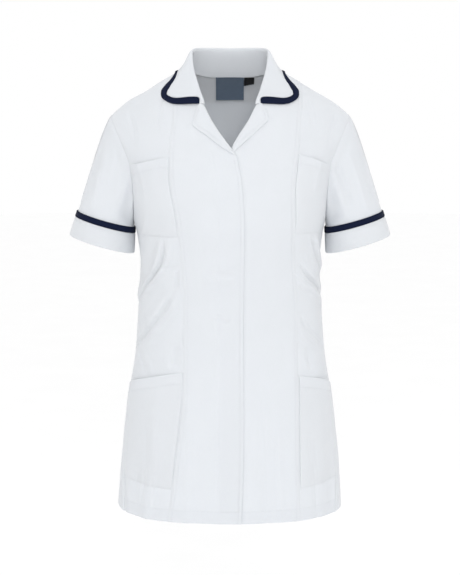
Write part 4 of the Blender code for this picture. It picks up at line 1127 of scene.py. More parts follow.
def make_sleeves(material):
    """The sleeves, as worn tubes from their armhole seams into their cuffs."""
    steps = np.concatenate([SLEEVE_DOWN, np.linspace(0.1, 1.0, 46)])
    lower = np.linspace(CUFF_DEPTH + BAND_WIDTH - 1.5, SLEEVE_END, 12)
    for side, name in ((-1, "sleeve_right"), (1, "sleeve_left")):
        front_turn, front_row = armhole(side, ARMHOLE_FRONT, True)
        back_turn, back_row = armhole(side, ARMHOLE_BACK, False)
        turn = np.concatenate([front_turn, back_turn[::-1][1:]])
        row = np.concatenate([front_row, back_row[::-1][1:]])
        counts = np.concatenate([ARM_COUNTS, 2 * ARM_COUNTS[-1] - ARM_COUNTS[::-1][1:]])
        angle = counts / counts[-1] * 2 * math.pi
        seam, normals = cloth_surface(turn, row)
        seam[-1] = seam[0]
        normals[0] = normals[-1] = unit(normals[0] + normals[-1])
        middle = seam[:-1].mean(axis=0) + np.array([side * 25.0, 0, 0])
        inward = edge_frame(seam, normals, middle)
        inward[0] = inward[-1] = unit(inward[0] + inward[-1])
        highness = ease((seam[:, 2] - UNDERARM) / (seam[0, 2] - UNDERARM))[:, None] ** 1.3
        hang = np.stack([side * (0.30 + 0 * angle), -0.30 * np.sin(angle), -1.0 + 0 * angle], -1)
        leave = unit(inward * highness + unit(hang) * (1 - highness))
        lift = np.maximum(0, -np.sum(leave * inward, axis=-1, keepdims=True))
        start = seam + inward * SEAM + normals * lift * 0.8
        reach = SLEEVE_START_UNDER + (SLEEVE_START - SLEEVE_START_UNDER) * highness
        top = CUFF_DEPTH + BAND_WIDTH + 1.0
        end = sleeve_ring(side, angle, top, 0.0)
        arrive = unit(sleeve_ring(side, angle, top - 4.0, 0.0) - end)
        far = np.linalg.norm(end - start, axis=-1, keepdims=True)
        rings = []
        for t in steps:
            first = (1 + 2 * t) * (1 - t) ** 2
            ring = first * start + (1 - first) * end
            rings.append(ring + t * (1 - t) ** 2 * leave * reach - t * t * (1 - t) * arrive * far)
        for height in lower:
            rings.append(sleeve_ring(side, angle, height, 0.0))
        outer = np.stack(rings)
        way = grid_normals(outer, True) * side
        down = np.concatenate([steps, 1.0 + (top - lower) / 400.0])[:, None] + 0 * angle
        degrees = np.degrees(angle)[None, :] + 0 * down
        length = run_of(outer)
        around = run_of(seam)[None, :]
        height = seam_height(PLAIN_SEAM, length) + pucker(around + 0 * down, length, 0.7 + side)
        height = height + 0.45 * np.exp(-((length - 7.0) / 6.0) ** 2)
        for fold in SLEEVE_FOLDS:
            if fold.side != side:
                continue
            share = np.clip((down - fold.down0) / (fold.down1 - fold.down0), 0, 1)
            at = fold.angle0 + (fold.angle1 - fold.angle0) * share
            inside = ease((down - fold.down0) * 6)
            if fold.down1 < 1:
                inside = inside * ease((fold.down1 - down) * 6)
            height = height + fold.depth * inside * np.exp(-((degrees - at) / fold.width) ** 2 * 2)
        # The folds are pressed flat where the cuff and its band hold the sleeve.
        flat = 1 - ease((down - 0.86) / 0.14)
        height = height * flat
        outer = outer + way * height[..., None]
        # The seam allowance goes on under the body's edge.
        allowance = [outer[0] - inward * far_in - normals * drop for far_in, drop in ((4.0, 1.5), (1.2, 1.2))]
        outer = np.concatenate([np.stack(allowance), outer])
        way = np.concatenate([np.stack([normals, normals]), way])
        outer[:, -1] = outer[:, 0]
        inner = outer - way * CLOTH
        inner[:, -1] = inner[:, 0]
        dress(shell(name + "_cloth", outer, inner, material, tube=True), name)


RING_COLUMNS = 180
BAND_CLOTH = 0.5


def section_ring(name, side, face, thick, material, node):
    """A ring of cloth round the sleeve, from a section of growth and height."""
    angle = np.linspace(0, 2 * math.pi, RING_COLUMNS + 1)
    outer = np.stack([sleeve_ring(side, angle, height, grow) for grow, height in face])
    normals = grid_normals(outer, True)
    # The directions are turned to point away from the sleeve's middle where the section starts.
    out = outer[0] - outer[0, :-1].mean(axis=0)
    if np.sum(normals[0] * out) < 0:
        normals = -normals
    inner = outer - normals * thick
    inner[:, -1] = inner[:, 0]
    dress(shell(name, outer, inner, material, tube=True), node)
    return outer, normals


def make_cuffs(white, navy):
    """Turned-back cuffs with their navy bands: each layer goes up, over the fold and inside."""
    middle = -SOLID_CLOTH / 2
    small = SOLID_CLOTH / 2 + CUFF_GAP
    large = small + CUFF_CLOTH
    face = [(middle + large - 0.4, CUFF_DEPTH - 0.2), (middle + large, CUFF_DEPTH - 0.8)]
    for height in np.linspace(CUFF_DEPTH - 2.0, large + 0.4, 14):
        face.append((middle + large + 0.25 * math.sin(math.pi * height / CUFF_DEPTH), height))
    for bend in np.radians(np.linspace(0, 180, 13)):
        face.append((middle + large * math.cos(bend), large - large * math.sin(bend)))
    for height in np.linspace(large + 2, CUFF_TURN_IN, 6):
        face.append((middle - large, height))
    band = [(CUFF_GAP + 0.3, CUFF_DEPTH + 0.15)]
    for share in np.linspace(0, 1, 9):
        round_off = 0.5 * abs(2 * share - 1) ** 6
        band.append((CUFF_GAP + 2.0 - round_off, CUFF_DEPTH + 0.25 + (BAND_WIDTH - 0.4) * share))
    band.append((CUFF_GAP + 0.3, CUFF_DEPTH + BAND_WIDTH))
    for side, word in ((-1, "right"), (1, "left")):
        outer, normals = section_ring(
            "cuff_%s_cloth" % word, side, face, CLOTH, white, "cuff_" + word
        )
        sew(outer[3], normals[3])
        outer, normals = section_ring(
            "cuff_band_%s_cloth" % word, side, band, BAND_CLOTH, navy, "cuff_band_" + word
        )
        for line in (2, -3):
            sew(outer[line], normals[line], "navy")


# The collar from the centre back to the gorge, on the wearer's left.
# A place up to 90 is an angle round the back neck; past that it counts down the roll line.
# Each band seam and outer edge lies over the body at an x and, behind, a y; in front, a z.
CollarLine = namedtuple("CollarLine", "place roll_x roll_y roll_z band_x band_at edge_x edge_at")
NECK_POINT_PLACE = 90.0
COLLAR_BACK = (
    CollarLine(0, 0, 62, 34, 0, 84, 0, 94),
    CollarLine(22, 25, 58, 34.5, 34, 80.5, 38, 90),
    CollarLine(45, 45, 46, 34.5, 61, 67, 69, 74),
    CollarLine(68, 57, 29, 33.5, 78.5, 42, 84.5, 45),
    CollarLine(90, 61, 12, 30, 83.2, 10, 88.2, 9.5),
)
COLLAR_FRONT = (
    CollarLine(90, 61, 12, 30, 83.2, -5, 88.2, -8.5),
    CollarLine(103, 60.5, 2, 20, 88.2, -18.3, 95.2, -18),
    CollarLine(116, 59, -9, 8, 95.3, -28.8, 104.2, -27.2),
    CollarLine(129, 56, -22, -6, 100, -37.5, 110, -37),
    CollarLine(141, 51.5, -35, -20, 98, -42.5, 106, -48),
    CollarLine(151, 46.5, -48, -35, 85, -46, 87, -55.5),
    CollarLine(160.5, 41.5, -59.5, -47, 50.5, -45.2, 50, -54.8),
    CollarLine(168.4, 38.8, -65.5, -54.4, 49.5, -55.0, 49.5, -55.0),
)
# How far the collar's edge stands off the body, and the gap at each end of its band.
COLLAR_LIFT = 3.0
BAND_END_GAP = 0.7
COLLAR_SEAM_GAP = 1.1
# How roundly the collar rolls over, inside and outside, and how the fall swells.
ROLL_STAND = 6.0
ROLL_FALL = 7.5
FALL_PUFF = 1.6
# Over how many places the collar's ends thin out, and how thick its band is.
COLLAR_THINNING = 7.0
COLLAR_BAND_CLOTH = 2.1


def bezier(points, t):
    """A curve from the first of four points to the last, drawn towards the others."""
    a, b, c, d = points
    s = 1 - t
    return a * s ** 3 + b * 3 * s * s * t + c * 3 * s * t * t + d * t ** 3


def mirrored(half):
    """Both halves of a run of points that starts on the middle line."""
    other = half[::-1] * np.array([-1.0, 1.0, 1.0])
    return np.concatenate([other[:-1], half])


def collar_column(field, at):
    """A column of the collar tables; the back one is mirrored to run level at the middle."""
    sign = -1.0 if field.endswith("_x") else 1.0
    other = COLLAR_BACK[:0:-1]
    places = [-line.place for line in other] + [line.place for line in COLLAR_BACK]
    values = [sign * getattr(line, field) for line in other]
    values += [getattr(line, field) for line in COLLAR_BACK]
    behind = smooth(places, values, np.minimum(at, NECK_POINT_PLACE))
    return np.where(at <= NECK_POINT_PLACE, behind, column(COLLAR_FRONT, "place", field, at))


LAPEL_CLOTH = 1.4
LAYER_GAP = 0.6
# Each lapel from the gorge to the break: a row on the roll line and a place on its edge.
LapelLine = namedtuple("LapelLine", "roll_row edge_x edge_z")
LAPEL_RIGHT = (
    LapelLine(-76.6, 48.6, -51.0),
    LapelLine(-80.6, 50.5, -56.2),
    LapelLine(-84, 55, -66),
    LapelLine(-88, 57.5, -77),
    LapelLine(-92, 60, -86.5),
    LapelLine(-97, 53, -93),
    LapelLine(-103, 42, -100),
    LapelLine(-109, 31, -108),
    LapelLine(-116, 20, -116.5),
    LapelLine(-122, 10, -123.5),
    LapelLine(-127, 2, -128.5),
    LapelLine(-130, -3, -131.0),
    LapelLine(-133.5, -7.6, -132.8),
    LapelLine(-136.6, -10.4, -134.0),
)
LAPEL_LEFT = (
    LapelLine(-76.6, 49.0, -50.6),
    LapelLine(-80.6, 52.0, -55.8),
    LapelLine(-84, 57, -65),
    LapelLine(-88, 60.5, -75),
    LapelLine(-92, 60, -81),
    LapelLine(-96, 54, -86.5),
    LapelLine(-101, 44, -95),
    LapelLine(-107, 34, -104),
    LapelLine(-113, 25, -112),
    LapelLine(-119, 17.5, -118.5),
    LapelLine(-123, 13, -122),
    LapelLine(-127, 8, -126),
    LapelLine(-131.5, 5.2, -129),
)
# The inner radius of a lapel's fold, how far it turns in behind, and how it swells.
LAPEL_FOLD_RADIUS = 1.7
LAPEL_TURN_IN = 9.0
LAPEL_PUFF = 1.2


SIDE_COLUMNS = 7
# Patch pockets, caught in the seams at their sides: rows of their edges, how their mouths
# curve down outwards, how far the outer edge reaches in panel columns, and how far the
# mouth stands open. A panel counts as SIDE_COLUMNS columns wide.
Pocket = namedtuple("Pocket", "name side top_inner top_outer curve bottom_inner bottom_outer reach gape")
POCKETS = (
    Pocket("breast_pocket_right", -1, -136, -152, 1.5, -262, -266, 6.45, 2.6),
    Pocket("breast_pocket_left", 1, -130, -150, 1.5, -258, -262, 6.15, 2.6),
    Pocket("hip_pocket_right", -1, -479, -515, 1.25, -667, -662, 6.85, 4.6),
    Pocket("hip_pocket_left", 1, -487, -516, 1.25, -668, -662, 6.85, 4.6),
)
POCKET_START = 0.12
POCKET_GAPE_DEPTH = 40.0
# The usual width of a pocket, by which columns are laid beside its edges.
POCKET_WIDTH = 96.0
# How far a pocket lies off the cloth under it, and how much nearer it comes at its foot.
POCKET_STANDS_OFF = 1.35
POCKET_FOOT_SINK = 1.25


# Labels hanging inside the back neck: how far across and down they reach.
Label = namedtuple("Label", "name x0 x1 top bottom0 bottom1 slot")
LABELS = (
    Label("neck_label", -24.0, 23.6, -12.0, -50.0, -50.0, "slate_label"),
    Label("size_tag", 24.2, 41.0, -12.0, -25.0, -22.0, "black_tag"),
)
# How far inside the back they lie at the top, and how much further in at the bottom.
LABEL_GAP = 1.2
LABEL_DROP = 1.6


# The zip behind the fly: strips by their turns, rows and depth under the surface.
Strip = namedtuple("Strip", "name turn0 turn1 row0 row1 depth")
ZIP_STRIPS = (
    Strip("zip_tape_right", -6.4, -0.2, -139, -708, 2.05),
    Strip("zip_tape_left", 2.8, 7.6, -139, -708, 2.05),
    Strip("zip_chain", 0.1, 2.5, -151, -704, 3.6),
)


COLLAR_STAND = np.linspace(0, 1, 9)[:-1]
COLLAR_FALL = np.concatenate([
    np.linspace(0, 0.2, 9)[:-1],
    np.linspace(0.2, 0.93, 15),
    [0.95, 0.97, 0.985, 1.0],
])


def collar_lying(spread_at, place, at):
    """Points on the body under the collar, with the directions out of it."""
    behind = at <= NECK_POINT_PLACE
    turn = np.zeros(len(at))
    row = np.zeros(len(at))
    turn[behind], row[behind] = seek(
        spread_at[behind], place[behind], [0, 1], 180 - spread_at[behind] / 2.6, -40 + 0 * at[behind]
    )
    turn[~behind], row[~behind] = seek(
        spread_at[~behind], place[~behind], [0, 2], spread_at[~behind] / 2.2, place[~behind] - 10
    )
    return cloth_surface(turn, row)


def make_collar(white, navy):
    """The collar in one run of cloth: up its stand, over the roll and down its fall."""
    back_at = np.linspace(0, NECK_POINT_PLACE, 33)
    share = np.linspace(0, 1, 71)[1:] ** 1.35
    front_at = NECK_POINT_PLACE + (COLLAR_FRONT[-1].place - NECK_POINT_PLACE) * share
    at = np.concatenate([back_at, front_at])
    bend = np.radians(back_at)
    x = NECK_HALF_WIDTH * np.sin(bend)
    y = NECK_POINT_Y + NECK_BACK_DEPTH * np.cos(bend)
    turn, row = seek(x, y, [0, 1], 180 - np.degrees(bend) / 3, -8 - 50 * np.cos(bend))
    turn[-1] = 180 - shoulder_turn(NECK_HALF_WIDTH)
    row[-1] = 0.0
    front_row = NECK_POINT_PLACE - front_at
    turn = np.concatenate([turn, edge_turn(ROLL_EDGE, front_row)])
    row = np.concatenate([row, front_row])
    neck, normals = (mirrored(half) for half in cloth_surface(turn, row))
    roll = mirrored(np.stack([collar_column(field, at) for field in ("roll_x", "roll_y", "roll_z")], -1))
    band, band_normals = (
        mirrored(half) for half in collar_lying(collar_column("band_x", at), collar_column("band_at", at), at)
    )
    edge, edge_normals = (
        mirrored(half) for half in collar_lying(collar_column("edge_x", at), collar_column("edge_at", at), at)
    )
    along = np.gradient(roll, axis=0)
    across = unit(np.cross(along, roll - neck))
    across = across * np.sign(np.sum(across * normals, axis=-1, keepdims=True))
    inward = edge_frame(neck, normals, roll)
    start = neck + inward * COLLAR_SEAM_GAP - across * FACED_CLOTH
    end = band + band_normals * COLLAR_LIFT
    fall = end - roll
    length = np.linalg.norm(fall, axis=-1, keepdims=True)
    arrive = unit(fall - band_normals * np.sum(fall * band_normals, axis=-1, keepdims=True))
    rise = roll - start
    high = np.linalg.norm(rise, axis=-1, keepdims=True)
    soft = np.minimum(1.0, high / 25.0)
    stand = (start, start + rise * 0.4, roll - across * ROLL_STAND * soft, roll)
    over_roll = roll + across * ROLL_FALL * (0.35 + 0.65 * soft)
    over = (roll, over_roll, end - arrive * length * 0.4 + band_normals * FALL_PUFF, end)
    path = [bezier(stand, t) for t in COLLAR_STAND] + [bezier(over, t) for t in COLLAR_FALL]
    face = np.stack(path, axis=1)
    ways = grid_normals(face)
    middle = len(face) // 2
    if ways[middle, -1, 2] < 0:
        ways = -ways
    run = run_of(face, axis=1)
    last = run[:, -1:] - run
    distance = run_of(end)[:, None]
    height = -0.35 * np.exp(-(last / 0.8) ** 2) + pucker(distance + 0 * last, last + 2.0, 0.2)
    height = height - 0.5 * np.exp(-(run / 1.0) ** 2)
    # The fall isn't quite flat: it bellies and dips a little along its length.
    fallen = ease(run / run[:, -1:] * 2 - 0.9) * ease(last / 8.0)
    height = height + 0.35 * fallen * np.sin(distance / 19.0) + 0.25 * fallen * np.sin(distance / 7.3 + 1.0)
    # Its ends thin out over the lapels.
    thin = 1 - ease((COLLAR_FRONT[-1].place - at) / COLLAR_THINNING)
    thin = np.concatenate([thin[::-1][:-1], thin])[:, None]
    thick = (FACED_CLOTH * (1 - 0.6 * thin))[..., None]
    face = face + ways * (height[..., None] + thick - FACED_CLOTH)
    under = face - ways * thick
    face[:, -1] += unit(face[:, -2] - face[:, -1]) * SEAM
    under[:, -1] += unit(under[:, -2] - under[:, -1]) * SEAM
    dress(shell("collar_cloth", face, under, white), "collar")
    stitched = len(COLLAR_STAND) + len(COLLAR_FALL) - 4
    sew(face[3:-3, stitched], ways[3:-3, stitched])
    sew(face[20:-20, 1], ways[20:-20, 1])

    kept = slice(3, -3)
    inner_line = (band + band_normals * (COLLAR_LIFT + 0.3))[kept]
    outer_line = (edge + edge_normals * (COLLAR_LIFT + 0.3))[kept]
    out = unit(outer_line - inner_line)
    inner_line = inner_line + out * SEAM
    up = unit(band_normals + edge_normals)[kept]
    wide = np.linalg.norm(outer_line - inner_line, axis=-1, keepdims=True)
    # The band is a folded strip: over the top, round the collar's edge and back beneath.
    thick = COLLAR_BAND_CLOTH
    columns = []
    for place, drop in ((0.0, 0.5), (0.02, 0.1), (0.06, -0.05)):
        columns.append(inner_line + out * wide * place - up * drop)
    for place in np.linspace(0.12, 0.80, 9):
        columns.append(inner_line + out * wide * place - up * (-0.12 * math.sin(math.pi * place)))
    for angle in np.radians(np.linspace(10, 170, 9)):
        reach = wide - thick / 2 + math.sin(angle) * thick / 2
        columns.append(inner_line + out * reach - up * (thick / 2 - math.cos(angle) * thick / 2))
    for place in (0.7, 0.4, 0.1):
        columns.append(inner_line + out * wide * place - up * thick)
    band_face = np.stack(columns, axis=1)
    for end_at, next_at in ((0, 2), (-1, -3)):
        band_face[end_at] += unit(band_face[next_at] - band_face[end_at]) * BAND_END_GAP
    band_ways = grid_normals(band_face)
    if np.sum(band_ways[:, 6] * up) < 0:
        band_ways = -band_ways
    band_under = band_face - band_ways * 0.45
    dress(shell("collar_band_cloth", band_face, band_under, navy), "collar_band")
    sew(band_face[2:-2, 4], band_ways[2:-2, 4], "navy")


LAPEL_STITCH = 5.5
LAPEL_EDGE = (
    SeamShape(0, -0.7),
    SeamShape(0.5, -0.1),
    SeamShape(1.5, 0.1),
    SeamShape(4.6, 0.1),
    SeamShape(LAPEL_STITCH, -0.3),
    SeamShape(6.4, 0.0),
    SeamShape(9, 0.0),
)
LAPEL_ACROSS = np.concatenate([np.linspace(0, 0.8, 19), [0.85, 0.89, 0.92, 0.945, 0.965, 0.98, 0.992, 1.0]])


def make_lapels(material):
    """The faced lapels: each hooks round its front's roll edge and lies folded back on it."""
    for side, name, table in ((-1, "lapel_right", LAPEL_RIGHT), (1, "lapel_left", LAPEL_LEFT)):
        counts = np.arange(len(table))
        fine = np.unique(np.concatenate([np.linspace(0, len(table) - 1, 73), counts, [0.04, 0.1, 0.2]]))
        rows = np.interp(fine, counts, [line.roll_row for line in table])
        edge_x = side * np.interp(fine, counts, [line.edge_x for line in table])
        edge_z = np.interp(fine, counts, [line.edge_z for line in table])
        turn = front_edge(side, rows)
        turn_out, row_out = seek(edge_x, edge_z, [0, 2], edge_x / 2.2, edge_z - 10)
        edge_at, normals = cloth_surface(turn, rows)
        within = cloth_surface(turn + side * 3, rows)[0]
        away = -edge_frame(edge_at, normals, within)
        sink = fly_sink(turn, rows) if side > 0 else 0 * turn
        centre = edge_at - normals * (sink[:, None] + SOLID_CLOTH / 2)
        hook = ease((rows - (BREAK + 6)) / 26.0)[:, None]
        # The lapel thins out under the collar's end and where it runs into the front's edge.
        low_end = ease((rows - rows[-1]) / 9.0)
        full = (0.3 + 0.7 * low_end) * (0.55 + 0.45 * ease((rows[0] - rows) / 2.2))
        small = (LAPEL_FOLD_RADIUS * full)[:, None]
        thick = (LAPEL_CLOTH * full)[:, None]
        large = small + thick
        face = []
        for back in (1.0, 0.6, 0.25):
            bend = np.radians(-90 * hook)
            direction = away * np.cos(bend) + normals * np.sin(bend)
            trail = away * np.sin(bend) - normals * np.cos(bend)
            face.append(centre + direction * large + trail * (1.2 + LAPEL_TURN_IN * hook) * back)
        for share in np.linspace(0, 0.92, 10):
            bend = np.radians(-90 * hook + (90 + 90 * hook) * share)
            direction = away * np.cos(bend) + normals * np.sin(bend)
            face.append(centre + direction * large)
        for share in LAPEL_ACROSS:
            turn_here = turn + (turn_out - turn) * share
            row_here = rows + (row_out - rows) * share
            lying, normal_here = cloth_surface(turn_here, row_here)
            sink_here = fly_sink(turn_here, row_here) if side > 0 else 0 * turn_here
            low = (small[:, 0] - SOLID_CLOTH / 2) * (1 - share) + LAYER_GAP * full * share
            lift = low + LAPEL_PUFF * full * math.sin(math.pi * share) - sink_here + thick[:, 0]
            face.append(lying + normal_here * lift[:, None])
        face = np.stack(face, axis=1)
        ways = grid_normals(face)
        if np.sum(ways[10:-10, -8] * normals[10:-10]) < 0:
            ways = -ways
        run = run_of(face, axis=1)
        last = run[:, -1:] - run
        down = run_of(face[:, -1])[:, None]
        height = seam_height(LAPEL_EDGE, np.minimum(last, down))
        wide = np.clip(run[:, -1:] / 16.0, 0, 1)
        height = height * wide + pucker(down + 0 * last, last, 0.5) * wide
        face = face + ways * height[..., None]
        under = face - ways * thick[..., None]
        dress(shell(name + "_cloth", face, under, material), name)
        line = []
        line_ways = []
        for index in range(12, len(face) - 8):
            if run[index, -1] < 20:
                continue
            place = np.interp(LAPEL_STITCH, last[index, ::-1], np.arange(len(last[index]))[::-1])
            low = int(place)
            share = place - low
            line.append(face[index, low] * (1 - share) + face[index, low + 1] * share)
            line_ways.append(ways[index, low])
        sew(line, line_ways)


# A pocket's stitches lie this far in from its edge, and its columns at these distances.
POCKET_STITCH = 1.8
POCKET_BESIDE = (0.0, 0.5, 1.2, POCKET_STITCH, 2.4, 3.6, 5.0, 7.0)
POCKET_EDGE = (
    SeamShape(0, -0.75),
    SeamShape(0.5, -0.1),
    SeamShape(1.2, 0.25),
    SeamShape(POCKET_STITCH, -0.05),
    SeamShape(2.4, 0.2),
    SeamShape(7.0, 0.3),
    SeamShape(10.0, 0.2),
)
MOUTH_HEM = 17.0
# How far up from its foot a pocket takes to lie clear of the cloth under it.
POCKET_FOOT_BLEND = 26.0
POCKET_DOWN = (0.0, 0.4, 1.0, 2.2, 4.0, 7.0, 11.0, 14.8, 16.0, MOUTH_HEM, 18.0, 19.4, 23.0)


def make_pockets(material):
    """Patch pockets in cloth that stands a little open at the mouth."""
    rows = fine_rows()
    index = np.arange(len(rows))
    for pocket in POCKETS:
        side = pocket.side
        turn0 = princess(side, rows)
        turn1, row1 = side_edge(side, True)
        start = POCKET_START / SIDE_COLUMNS
        end = pocket.reach / SIDE_COLUMNS
        near = np.array(POCKET_BESIDE) / POCKET_WIDTH
        across = np.concatenate([near, np.linspace(near[-1], 1 - near[-1], 32)[1:-1], 1 - near[::-1]])
        across_share = start + (end - start) * across
        top = pocket.top_inner + (pocket.top_outer - pocket.top_inner) * across ** pocket.curve
        bottom = pocket.bottom_inner + (pocket.bottom_outer - pocket.bottom_inner) * across
        deep = (top - bottom)[None, :]
        down = np.array(POCKET_DOWN)[:, None] + 0 * deep
        low = np.array(POCKET_BESIDE)[::-1][:, None]
        between = np.linspace(0, 1, 46)[1:-1][:, None]
        down = np.concatenate([down, down[-1:] * (1 - between) + (deep - low[:1]) * between, deep - low])
        row = top[None, :] - down
        turn = np.zeros(row.shape)
        rows_here = np.zeros(row.shape)
        for place, share in enumerate(across_share):
            line_row = rows * (1 - share) + row1 * share
            line_turn = turn0 * (1 - share) + turn1 * share
            at = np.interp(-row[:, place], -line_row, index)
            turn[:, place] = np.interp(at, index, line_turn)
            rows_here[:, place] = np.interp(at, index, line_row)
        first = across[None, :] * POCKET_WIDTH + 0 * row
        last = POCKET_WIDTH - first
        foot = deep - down
        mouth = np.exp(-(down / POCKET_GAPE_DEPTH) ** 2)
        slump = 0.75 + 0.25 * np.cos(across * 9.0 + side)
        swell = pocket.gape * mouth * np.sin(math.pi * across ** 1.3)[None, :] * slump[None, :]
        lift = POCKET_STANDS_OFF + swell
        lift = lift - POCKET_FOOT_SINK * (1 - ease(foot / POCKET_FOOT_BLEND))
        lift = lift + 0.4 * np.minimum(seam_height(POCKET_EDGE, foot), 0.3)
        lift = lift + 0.5 * np.minimum(seam_height(POCKET_EDGE, first), seam_height(POCKET_EDGE, last))
        lift = lift - 0.12 * np.exp(-((down - MOUTH_HEM) / 1.3) ** 2) - 0.5 * np.exp(-(down / 0.5) ** 2)
        lift = lift + pucker(first, foot + 2.0, 0.6 + side)
        lift = lift + pucker(first, np.abs(down - MOUTH_HEM) + 2.5, 1.9)
        belly = np.sin(math.pi * across)[None, :] * np.sin(math.pi * np.clip(down / deep, 0, 1))
        lift = lift + 0.9 * belly * (1 + 0.5 * np.sin(first / 17.0 + side) * np.sin(down / 29.0))
        outer, normals = cloth_surface(turn, rows_here, lift)
        thick = CLOTH + 0.5 * (1 - ease((down - MOUTH_HEM) / 1.5))
        inner = outer - normals * thick[..., None]
        dress(shell(pocket.name + "_cloth", outer, inner, material), pocket.name)
        for line in (POCKET_DOWN.index(MOUTH_HEM), -1 - POCKET_BESIDE.index(POCKET_STITCH)):
            sew(outer[line], normals[line])


def make_labels(materials):
    """The bare label and tag inside the back neck, each a strip with a folded end."""
    for label in LABELS:
        across = np.linspace(0, 1, 41)[None, :]
        down = np.concatenate([[0, 0.01, 0.03], np.linspace(0.06, 0.94, 31), [0.97, 0.985, 1.0]])[:, None]
        x = label.x0 + (label.x1 - label.x0) * across + 0 * down
        bottom = label.bottom0 + (label.bottom1 - label.bottom0) * across
        z = label.top + (bottom - label.top) * down
        turn, row = seek(x, z, [0, 2], 180 - x / 1.6, -75 + 0 * z)
        wave = 0.35 * np.sin(across * 5.0 + 0.6) * down
        rim = 0.18 * np.exp(-((np.minimum(across, 1 - across) * abs(label.x1 - label.x0)) / 0.8) ** 2)
        fold = 0.25 * np.exp(-((1 - down) / 0.05) ** 2)
        lift = -(SOLID_CLOTH + LABEL_GAP + LABEL_DROP * down + wave)
        front, normals = cloth_surface(turn, row, lift - 0.75 - rim - fold)
        back = cloth_surface(turn, row, lift)[0]
        piece = shell(label.name + "_cloth", front, back, materials[label.name])
        dress(piece, label.name)
        if label.name == "neck_label":
            for column_at in (1, -2):
                sew(front[2:-2, column_at], -normals[2:-2, column_at], "slate")
        sew(front[2, 2:-2], -normals[2, 2:-2], "slate" if label.name == "neck_label" else "black")


ROD_SIDES = 6


def capsules(starts, ends, ways, radius, arch):
    """Small rounded rods between pairs of points, as grids of points and faces."""
    along = unit(ends - starts)
    side = unit(np.cross(along, ways))
    up = np.cross(side, along)
    length = np.linalg.norm(ends - starts, axis=-1)
    stations = ((0.0, 0.25, -1.0), (0.12, 0.9, -0.2), (0.5, 1.0, 0.5), (0.88, 0.9, -0.2), (1.0, 0.25, -1.0))
    angles = np.linspace(0, 2 * math.pi, ROD_SIDES + 1)[:-1]
    points = []
    for share, swell, rise in stations:
        middle = starts + along * (length * share)[:, None] + up * (arch * rise)
        for angle in angles:
            points.append(middle + radius * swell * (side * math.cos(angle) + up * math.sin(angle)))
    points = np.stack(points, axis=1)
    count = len(stations) * ROD_SIDES
    faces = []
    for ring in range(len(stations) - 1):
        here = ring * ROD_SIDES
        there = here + ROD_SIDES
        for place in range(ROD_SIDES):
            beyond = (place + 1) % ROD_SIDES
            faces.append((here + place, here + beyond, there + beyond, there + place))
    for first in (0, count - ROD_SIDES):
        flip = -1 if first == 0 else 1
        faces.append(tuple(first + place for place in (0, 1, 2, 3))[::flip])
        faces.append(tuple(first + place for place in (0, 3, 4, 5))[::flip])
    faces = np.array(faces)[None, :, :] + (np.arange(len(starts)) * count)[:, None, None]
    return points.reshape(-1, 3), faces.reshape(-1, 4)


STITCH_LENGTH = 2.3
STITCH_PITCH = 3.0
STITCH_START = 0.35
STITCH_LIFT = 0.12
STITCH_ARCH = 0.16
THREAD_RADIUS = 0.21


def make_stitches(materials):
    """All topstitching, as separate arched stitches along the lines kept by sew()."""
    for kind, (material, slot) in materials.items():
        starts, ends, ways = [], [], []
        for points, normals, word in SEWN:
            if word != kind or len(points) < 3:
                continue
            run = run_of(points)
            count = int(run[-1] / STITCH_PITCH)
            begin = np.arange(count) * STITCH_PITCH + STITCH_START
            for at, into in ((begin, starts), (begin + STITCH_LENGTH, ends)):
                into.append(np.stack([np.interp(at, run, points[:, axis]) for axis in range(3)], -1))
            middle = begin + STITCH_LENGTH / 2
            ways.append(unit(np.stack([np.interp(middle, run, normals[:, axis]) for axis in range(3)], -1)))
        starts, ends, ways = (np.concatenate(part) for part in (starts, ends, ways))
        lifted = ways * STITCH_LIFT
        points, faces = capsules(starts + lifted, ends + lifted, ways, THREAD_RADIUS, STITCH_ARCH)
        corners = np.stack([points[faces][..., 0] * 2, points[faces][..., 2] * 2], -1)
        piece = mesh_piece("stitches_" + kind, points, faces, corners, material)
        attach(piece, "root")


COIL_PITCH = 1.7
COIL_RADIUS = 0.62
TAPE_CLOTH = 0.7


def make_zip(tape, nylon):
    """The zip behind the fly: two tapes, its coil as rows of loops, and the slider."""
    rows = fine_rows()
    for strip in ZIP_STRIPS:
        within = rows[(rows > strip.row1 + 2) & (rows < strip.row0 - 2)]
        down = np.concatenate([[strip.row0], within, [strip.row1]])[:, None]
        across = np.linspace(0, 1, 13)[None, :]
        turn = strip.turn0 + (strip.turn1 - strip.turn0) * across + 0 * down
        row = down + 0 * turn
        if strip.name == "zip_chain":
            # The coil: loops of nylon across the strip, closed round a cord.
            run = np.arange(strip.row0 - 2.0, strip.row1 + 2.0, -COIL_PITCH)
            left = np.full(len(run), strip.turn0 + 0.15)
            right = np.full(len(run), strip.turn1 - 0.15)
            level = -(strip.depth + 0.75)
            start, normals = cloth_surface(left, run, level)
            end = cloth_surface(right, run - 0.5, level)[0]
            loops, loop_faces = capsules(start, end, normals, COIL_RADIUS, -0.12)
            backing, backing_normals = cloth_surface(turn, row, -strip.depth - 1.0)
            cord, cord_faces = grid_solid(backing, backing - backing_normals * TAPE_CLOTH)
            points = np.concatenate([loops, cord])
            faces = np.concatenate([loop_faces, cord_faces + len(loops)])
            corners = points[faces][..., [0, 2]]
            piece = mesh_piece("zip_chain_nylon", points, faces, corners, nylon)
        else:
            rim = 0.18 * np.exp(-((np.minimum(across, 1 - across) * 18.0) / 1.2) ** 2)
            outer, normals = cloth_surface(turn, row, -strip.depth - 0.1 + rim)
            piece = shell(strip.name + "_knit", outer, outer - normals * TAPE_CLOTH, tape)
        dress(piece, strip.name)
    make_slider(nylon)


